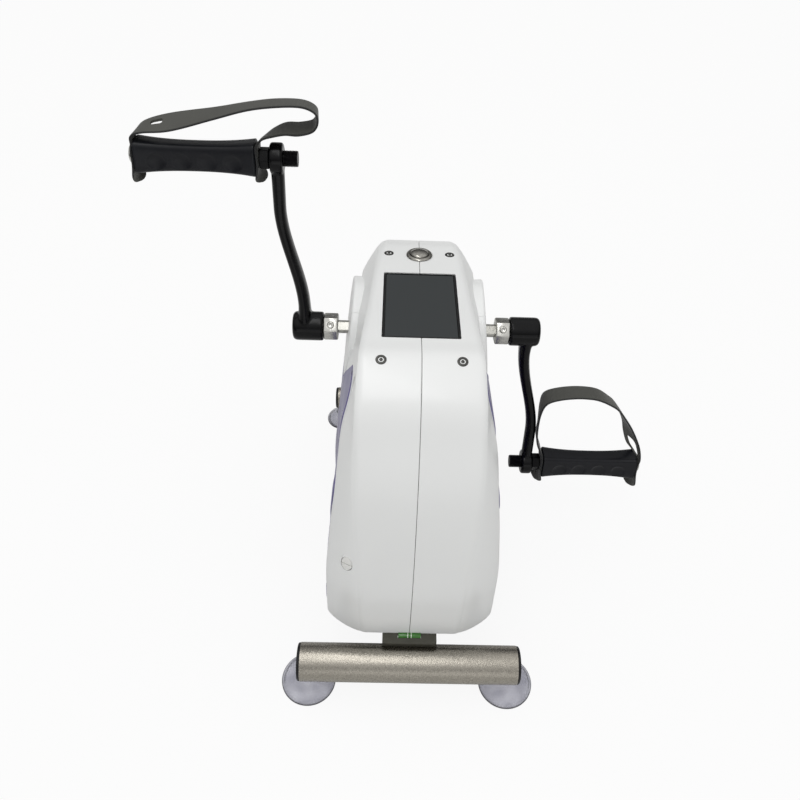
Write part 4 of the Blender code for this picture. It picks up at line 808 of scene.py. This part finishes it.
pale_mark = finish("pale_bubble_mark", ("#D8E6D2", "#E6EFE0"), (0.2, 0.3), 2.0, 0.002, 6.0)
for i, x in enumerate((-0.0017, 0.0017)):
    near, far = x - 0.0003, x + 0.0003
    band = [(0.0028, near), (0.0031, near), (0.0031, far), (0.0028, far), (0.0028, near)]
    mark = turned(f"level_mark_{i}", band, VIAL_AT, X_AXIS, 40)
    fit(mark, "housing", "green_vial", pale_mark, "spirit_level_vial")
dress(powder_coat, "rear_saddle", "motor_bracket", "upright_left", "upright_right")


# Crank shaft, collars and set screws
# A ground steel spindle; on each side a zinc plated hexagon collar with a socket set screw.
# Zinc plating is a bright, slightly uneven grey. The screw presses on a flat ground into the spindle.
SPINDLE_RADIUS, SPINDLE_HALF = 0.0066, 0.1200
COLLAR_START, COLLAR_WIDTH, COLLAR_FLATS = 0.0795, 0.0145, 0.0238
SCREW_TILT, FLAT_TILT = math.radians(50), math.radians(38)
zinc_plate = finish(
    "bright_zinc_plated_steel", ("#B4B3AE", "#D2D1CC"), (0.16, 0.30), 0.5, 0.006, 6.0, Metallic=1.0,
)
ground_steel = finish("ground_steel", ("#A3A29C", "#BDBCB6"), (0.18, 0.28), 0.4, 0.005, 5.0, Metallic=1.0)
shaft = turned("spindle", rod(SPINDLE_RADIUS, -SPINDLE_HALF, SPINDLE_HALF, 0.0006), AXLE, X_AXIS, 64)
flats = [
    plate(
        "spindle_flat", rectangle(0.026, 0.02, 0.001, 2), [(0, 0.0054), (0, 0.02)],
        Matrix.Translation((x, AXLE[1], AXLE[2])) @ Matrix.Rotation(FLAT_TILT, 4, "X"),
    )
    for x in (-0.0755, 0.0755)
]
cut(shaft, *flats)
fit(shaft, "crankset", "zinc_steel", ground_steel, "crank_shaft")
screw_out = np.array((0, -math.cos(SCREW_TILT), math.sin(SCREW_TILT)))


def hexagon(flats, reach):
    """A hexagon by its width over flats, f / sqrt(3) from the middle to each corner."""
    corners = [(math.cos(a), math.sin(a)) for a in np.radians(np.arange(30, 390, 60))]
    return round_loop(np.array(corners) * flats / math.sqrt(3), reach)


for side, sign in SIDES:
    axis = sign * X_AXIS
    place = seat_at(AXLE + COLLAR_START * axis, [screw_out, np.cross(axis, screw_out), axis])
    bevels = [
        (-0.0012, 0), (-0.0002, 0.0007), (0, 0.0012), (0, 0.0133), (-0.0002, 0.0138), (-0.0012, COLLAR_WIDTH),
    ]
    body = plate(f"{side}_hexagon_collar", hexagon(COLLAR_FLATS, 0.0007), bevels, place)
    middle = AXLE + (COLLAR_START + COLLAR_WIDTH / 2) * axis
    hole = turned("screw_hole", drill(0.0037, 0.0095, 0.03), middle, screw_out, 40)
    cut(body, hole)
    fit(body, "crankset", "zinc_steel", zinc_plate, f"{side}_collar")
    screw = turned(
        f"{side}_socket_screw",
        rounded([
            (0, 0.0103, 0), (0.0015, 0.0106, 0), (0.0015, 0.0132, 0.0003), (0.0027, 0.0134, 0.0004),
            (0.0033, 0.0126, 0.0003), (0.0033, 0.0080, 0), (0, 0.0080, 0),
        ]),
        middle, screw_out, 48,
    )
    fit(screw, "crankset", "zinc_steel", zinc_plate, f"{side}_set_screw")


# Crank arms
# Forged steel, S-bent, with a gloss black enamel that softens every edge and pools a little.
black_enamel = finish(
    "gloss_black_enamel", ("#050506", "#09090B"), (0.14, 0.26), 2.0, 0.012, 18.0, Specular_IOR_Level=0.18,
)
TILT = math.radians(14.8)
THROW, ARM_AT, EYE_AT = 0.170, 0.1128, 0.1316
BOSS_AT, BOSS_RADIUS, BOSS_WIDTH = 0.0943, 0.0147, 0.031
EYE_RADIUS, EYE_HALF = 0.0138, 0.006
UP = np.array((0, math.sin(TILT), math.cos(TILT)))
OVER = np.array((0, math.cos(TILT), -math.sin(TILT)))


def crank_way(sign):
    """The way from the axle to the pin: up on the left, down on the right."""
    return -sign * UP


def pin_at(sign):
    """The pin's centre on the middle plane."""
    return AXLE + crank_way(sign) * THROW


def joined(name, pieces):
    """One object from several, each left as its own closed surface in the mesh."""
    both = bmesh.new()
    for piece in pieces:
        both.from_mesh(piece.data)
        bpy.data.objects.remove(piece, do_unlink=True)
    mesh = bpy.data.meshes.new(name)
    both.to_mesh(mesh)
    both.free()
    made = bpy.data.objects.new(name, mesh)
    scene.collection.objects.link(made)
    return made


def arm_skin(name, sign):
    """Rounded sections, |cos|^0.8 by |sin|^0.8, along a centre line that shifts outwards by a smooth step."""
    s = np.linspace(0.0, 1.0, 90)[:, None, None]
    a = np.linspace(0, 2 * np.pi, 40, endpoint=False)[None, :, None]
    bend = np.clip((s - 0.12) / 0.62, 0, 1)
    bend = bend * bend * (3 - 2 * bend)
    x = ARM_AT + (EYE_AT - ARM_AT) * bend
    half_x = 0.006 * (1.02 - 0.10 * np.sin(np.pi * s)) + 0.003 * np.clip(1 - s / 0.16, 0, 1) ** 2
    half_y = 0.009 * (1.25 - 0.40 * s) + 0.003 * np.clip(1 - s / 0.16, 0, 1) ** 2
    wide = np.sign(np.cos(a)) * np.abs(np.cos(a)) ** 0.8
    deep = np.sign(np.sin(a)) * np.abs(np.sin(a)) ** 0.8
    down = crank_way(sign)
    middle = AXLE + down * THROW * s
    grid = middle + sign * X_AXIS * (x + half_x * wide) + np.cross(down, X_AXIS) * half_y * deep
    return skin(name, grid, around=True, caps=True)


for side, sign in SIDES:
    axis = sign * X_AXIS
    boss = turned(
        "boss",
        rounded([
            (0, 0, 0), (BOSS_RADIUS, 0, 0.0018), (BOSS_RADIUS, BOSS_WIDTH, 0.0052), (0, BOSS_WIDTH, 0),
        ], 12),
        AXLE + BOSS_AT * axis, axis, 96,
    )
    eye_form = rod(EYE_RADIUS, -EYE_HALF, EYE_HALF, 0.0022, 9)
    eye = turned("eye", eye_form, pin_at(sign) + EYE_AT * axis, axis, 96)
    arm = joined(f"{side}_forged_arm", [arm_skin("arm", sign), boss, eye])
    blend = arm.modifiers.new("forging", "REMESH")
    blend.mode = "VOXEL"
    blend.voxel_size = 0.0008
    soft = arm.modifiers.new("enamel", "SMOOTH")
    soft.factor = 0.5
    soft.iterations = 14
    bpy.context.view_layer.update()
    settled(arm, 70)
    fit(arm, "crankset", "black_enamel", black_enamel, f"{side}_crank_arm")


# Pedal pins, locknuts and end screws
# Steel pins with a cut thread, blackened, pass through the eyes; a locknut outboard holds each one.
ROD_RADIUS, ROD_START, ROD_END = 0.005, 0.1225, 0.2583
STUB_RADIUS, STUB_START, STUB_LENGTH = 0.0072, 0.1128, 0.0130
NUT_START, NUT_WIDTH, NUT_FLATS = 0.1379, 0.009, 0.017
black_oxide = finish(
    "black_oxide_steel", ("#060607", "#0D0D0F"), (0.24, 0.36), 0.6, 0.008, 8.0, Specular_IOR_Level=0.12,
)


def screw_head(name, radius, rise, start, axis, recess):
    """A domed head whose cross recess is cut by two bars."""
    a = np.linspace(0, 1, 9)
    dome = np.stack([radius * np.sin(a * np.pi / 2), rise * (0.35 + 0.65 * np.cos(a * np.pi / 2) ** 0.8)], 1)
    profile = np.vstack([dome, [(radius, 0), (radius * 0.4, 0), (radius * 0.4, -0.004), (0, -0.004)]])
    head = turned(name, profile, start, axis, 48)
    place = Vector(axis).to_track_quat("Z", "Y").to_matrix().to_4x4()
    place.translation = Vector(start)
    bars = [
        plate(f"{name}_bar_{i}", rectangle(w, h, 0.0001, 2), [(0, rise * 0.45), (0, rise + 0.01)], place)
        for i, (w, h) in enumerate(((2 * radius * recess, 0.0009), (0.0009, 2 * radius * recess)))
    ]
    return cut(head, *bars)


def threaded(name, radius, depth, pitch, length, start, axis, around):
    """A thread: r = radius - depth * |2 frac(h / pitch - a / 2 pi) - 1|, which runs out at both ends."""
    axis = np.asarray(axis, float)
    side = np.cross(axis, (0, 0, 1.0))
    other = np.cross(axis, side)
    h = np.linspace(0, length, int(length / pitch * 10) + 1)[:, None, None]
    a = np.linspace(0, 2 * np.pi, around, endpoint=False)[None, :, None]
    crest = np.abs(2 * np.mod(h / pitch - a / (2 * np.pi), 1) - 1)
    runout = np.clip(np.minimum(h, length - h) / 0.0012, 0, 1)
    r = (radius - depth) + depth * (1 - crest) * runout
    grid = np.asarray(start) + axis * h + r * (side * np.cos(a) + other * np.sin(a))
    return skin(name, grid, around=True, caps=True)


for side, sign in SIDES:
    axis = sign * X_AXIS
    pin = pin_at(sign)
    stub = threaded(
        f"{side}_threaded_stub", STUB_RADIUS, 0.0005, 0.00125, STUB_LENGTH, pin + STUB_START * axis, axis, 72
    )
    fit(stub, "crankset", "black_enamel", black_oxide, f"{side}_pedal_pin")
    shank = turned(f"{side}_pin_rod", rod(ROD_RADIUS, ROD_START, ROD_END, 0.0004), pin, axis, 48)
    fit(shank, "crankset", "black_enamel", black_oxide, f"{side}_pedal_pin")
    way = crank_way(sign)
    place = seat_at(pin + NUT_START * axis, [way, np.cross(axis, way), axis])
    bevels = [(-0.0011, 0), (0, 0.0009), (0, 0.0081), (-0.0011, NUT_WIDTH)]
    nut = plate(f"{side}_locknut", hexagon(NUT_FLATS, 0.0005), bevels, place)
    fit(nut, "crankset", "black_enamel", black_oxide, f"{side}_pin_nut")
    head = screw_head(f"{side}_cap_screw", 0.008, 0.0033, pin + 0.2587 * axis, axis, 0.42)
    fit(head, "crankset", "zinc_steel", zinc_plate, f"{side}_end_screw")


# Hand grips
# Blue black rubber with a satin skin, moulded over a sleeve that turns on the pin.
# Each is a rounded block, waisted in the middle, with four finger dents in front.
GRIP_START, GRIP_LENGTH, GRIP_HALF_DEPTH, GRIP_HALF_HEIGHT = 0.1495, 0.1065, 0.0135, 0.0152
GRIP_POWER, FINGER_DENTS, END_ROUNDING = 4.6, 4, 0.0016
grip_rubber = finish(
    "satin_moulded_grip_rubber", ("#0E0F13", "#17181D"), (0.30, 0.40), 0.6, 0.02, 10.0,
    Specular_IOR_Level=0.22,
)


def grip_skin(name, sign):
    """A rounded square section, |x|^n + |y|^n = 1, swells from the waist to both ends.

    Four oval dents sink into its front face; the ends are rounded over by a quarter circle.
    """
    u = np.linspace(0, 1, 120)[:, None]
    a = np.linspace(0, 2 * np.pi, 96, endpoint=False)[None]
    swell = 0.80 + 0.20 * np.abs(2 * u - 1) ** 2.4
    wide, tall = np.cos(a), np.sin(a)
    reach = (np.abs(wide) ** GRIP_POWER + np.abs(tall) ** GRIP_POWER) ** (-1 / GRIP_POWER)
    ends = np.minimum(u, 1 - u) * GRIP_LENGTH
    over = END_ROUNDING * (1 - np.sqrt(1 - np.clip(1 - ends / END_ROUNDING, 0, 1) ** 2))
    deep = (swell * GRIP_HALF_DEPTH - over) * reach * wide
    high = (swell * GRIP_HALF_HEIGHT - over) * reach * tall
    near = np.abs((u - 0.08) / 0.84 * FINGER_DENTS % 1 - 0.5) * 0.0224
    dent = np.clip(1 - (near / 0.0082) ** 2 - ((high + 0.003) / 0.0075) ** 2, 0, 1) ** 0.6
    inside = (u > 0.08) & (u < 0.92) & (wide > 0)
    deep = deep - 0.0015 * dent * inside
    along = sign * X_AXIS * (GRIP_START + GRIP_LENGTH * u[..., None])
    grid = pin_at(sign) + along - OVER * deep[..., None] + UP * high[..., None]
    return skin(name, grid, around=True, caps=True)


for side, sign in SIDES:
    grip = grip_skin(f"{side}_grip_moulding", sign)
    fit(grip, f"{side}_grip", "grip_rubber", grip_rubber, f"{side}_hand_grip")


# Hand straps
# Flat bands of dark grey rubber, 24 mm wide and 2 mm thick, held under the nut and the end screw.
# They twist a little on their way; a long slot near the outer end sets the loop's length.
strap_rubber = finish(
    "matt_grey_strap_rubber_painted_edge_shade", ("#3C3C37", "#494944"), (0.50, 0.64), 0.8, 0.02, 16.0, Sheen_Weight=0.08,
)
# Painted shade: the band turns near black along its long edges, where its side faces are unlit.
paint_edge_shade(strap_rubber, "#0B0B0B")
STRAP_WIDTH, STRAP_THICKNESS, TAIL_ROUNDING, HOLE_RADIUS = 0.024, 0.002, 0.010, 0.0054
OUTER, INNER = 0.2573, 0.1482
STRAP_KNOTS = {
    "left": [
        (OUTER - 0.003, -0.0235, 35), (OUTER, -0.017, 8), (OUTER, -0.006, 0), (OUTER, 0.006, 0),
        (OUTER, 0.0115, -6), (0.2550, 0.0188, 0), (0.2455, 0.0243, -11), (0.2218, 0.0288, -23),
        (0.1839, 0.0371, -10), (0.1546, 0.0440, -3), (0.1314, 0.0474, -2), (0.1091, 0.0479, 0),
        (0.0973, 0.0438, 2), (0.0945, 0.0372, 6), (0.0986, 0.0296, 10), (0.1105, 0.0264, 12),
        (0.1222, 0.0262, 10), (0.1330, 0.0228, 3), (0.1422, 0.0180, -6), (INNER - 0.0004, 0.0120, -3),
        (INNER, 0.0050, 0), (INNER, -0.008, 0), (INNER - 0.003, -0.0215, -35),
    ],
    "right": [
        (OUTER - 0.003, -0.0285, 35), (OUTER, -0.017, 8), (OUTER, -0.006, 0), (OUTER, 0.006, 0),
        (OUTER - 0.001, 0.0145, 10), (0.2505, 0.0270, 26), (0.2440, 0.0420, 24), (0.2380, 0.0564, 14),
        (0.2299, 0.0698, 8), (0.2209, 0.0811, 6), (0.2135, 0.0867, 4), (0.2025, 0.0930, 0),
        (0.1911, 0.0960, 0), (0.1737, 0.0965, 0), (0.1550, 0.0935, 0), (0.1430, 0.0875, 0),
        (0.1394, 0.0740, 6), (0.1394, 0.0520, 10), (0.1405, 0.0340, 4), (0.1462, 0.0180, 0),
        (INNER, 0.0090, 0), (INNER, -0.008, 0), (INNER - 0.003, -0.0245, -35),
    ],
}


def strap_skin(name, side, sign):
    """A rounded band section carried along the knots' curve and square to it; the tails are rounded.

    A knot holds the distance from the centre plane, the height over the pin and the twist t in degrees:
    the width runs along over * cos(t) + normal * sin(t). The band comes with its middle and width lines.
    """
    path, twist = np.split(smooth_path(STRAP_KNOTS[side], 10), [2], axis=1)
    twist = np.radians(twist)[..., None]
    run = np.gradient(path, axis=0)
    run /= np.linalg.norm(run, axis=1)[:, None]
    steps = np.concatenate([[0], np.cumsum(np.linalg.norm(np.diff(path, axis=0), axis=1))])
    left = np.minimum(steps, steps[-1] - steps)
    tail = np.sqrt(np.clip(1 - (1 - left / TAIL_ROUNDING) ** 2, 0.02, 1))
    width = np.where(left < TAIL_ROUNDING, tail, 1.0)[:, None]
    a = np.linspace(0, 2 * np.pi, 32, endpoint=False)[None]
    across = STRAP_WIDTH / 2 * np.sign(np.cos(a)) * np.abs(np.cos(a)) ** 0.25 * width
    thick = STRAP_THICKNESS / 2 * np.sign(np.sin(a)) * np.abs(np.sin(a)) ** 0.25 + 0 * across
    outward = sign * X_AXIS
    normal = (outward * -run[:, 1:] + UP * run[:, :1])[:, None]
    wide = OVER * np.cos(twist) + normal * np.sin(twist)
    flat = normal * np.cos(twist) - OVER * np.sin(twist)
    middle = pin_at(sign) + outward * path[:, :1] + UP * path[:, 1:]
    grid = middle[:, None] + wide * across[..., None] + flat * thick[..., None]
    band = skin(name, grid, around=True, caps=True)
    return band, middle, wide[:, 0]


for side, sign in SIDES:
    axis = sign * X_AXIS
    band, middle, wide = strap_skin(f"{side}_rubber_strap", side, sign)
    pin_hole = turned("pin_hole", drill(HOLE_RADIUS, 0.14, 0.27), pin_at(sign), axis, 40)
    if side == "left":
        ways, (along, back, high) = [axis, OVER, np.cross(axis, OVER)], (0.2350, 0.0020, 0.010)
        slot_form = rectangle(0.0110, 0.0062, 0.0027)
    else:
        ways, (along, back, high) = [OVER, UP, np.cross(OVER, UP)], (0.2500, 0.0, 0.0270)
        slot_form = rectangle(0.0140, 0.0240, 0.0060)
    place = seat_at(pin_at(sign) + axis * along + OVER * back + UP * high, ways)
    slot = plate("length_slot", slot_form, [(0, -0.03), (0, 0.03)], place)
    cut(band, pin_hole, slot)
    at = vertices_of(band)
    nearest = np.linalg.norm(at[:, None] - middle[None], axis=2).argmin(1)
    off = np.abs(((at - middle[nearest]) * wide[nearest]).sum(1))
    # The band's long edges get the painted shade.
    mark_painted_edge_shade(band, off, 0.0109, 0.0115)
    fit(band, f"{side}_strap", "strap_rubber", strap_rubber, f"{side}_hand_strap")


# Drive inside the housing
# Bearings, pulleys, belt, gear motor and control board stay as modelled in CAD.
# They are seen only through the open underside, so they get plain finishes.
belt_rubber = finish("ribbed_belt_rubber", ("#141414", "#1D1D1D"), (0.55, 0.70), 1.5, 0.05, 9.0)
solder_mask = finish("green_solder_mask", ("#0C4A24", "#13602F"), (0.25, 0.40), 1.2, 0.02, 4.0)
motor_paint = finish(
    "painted_motor_steel", ("#55565A", "#63646A"), (0.35, 0.50), 0.8, 0.02, 10.0, Metallic=0.7,
)
dress(zinc_plate, "shaft_bearing_left", "shaft_bearing_right", "motor_pulley")
dress(motor_paint, "gear_motor")
dress(black_plastic, "drive_pulley")
dress(belt_rubber, "drive_belt")
dress(solder_mask, "control_board")


# Power inlet
# A round low voltage socket, moulded in the same black plastic as the tubes' plugs.
# It is pushed through the back wall near the foot of the left half.
INLET_AT = (-0.030, FRONT_Y + 0.3413, 0.105)
inlet = turned(
    "inlet_socket",
    rounded([
        (0, -0.010, 0), (0.0032, -0.010, 0), (0.0032, 0.0020, 0.0004), (0.0088, 0.0020, 0.0008),
        (0.0090, 0, 0.0002), (0.0060, 0, 0), (0.0060, -0.014, 0.0005), (0, -0.014, 0),
    ]),
    INLET_AT, (0, 1, 0), 64,
)
fit(inlet, "housing", "black_plastic", black_plastic, "power_inlet")


low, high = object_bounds()
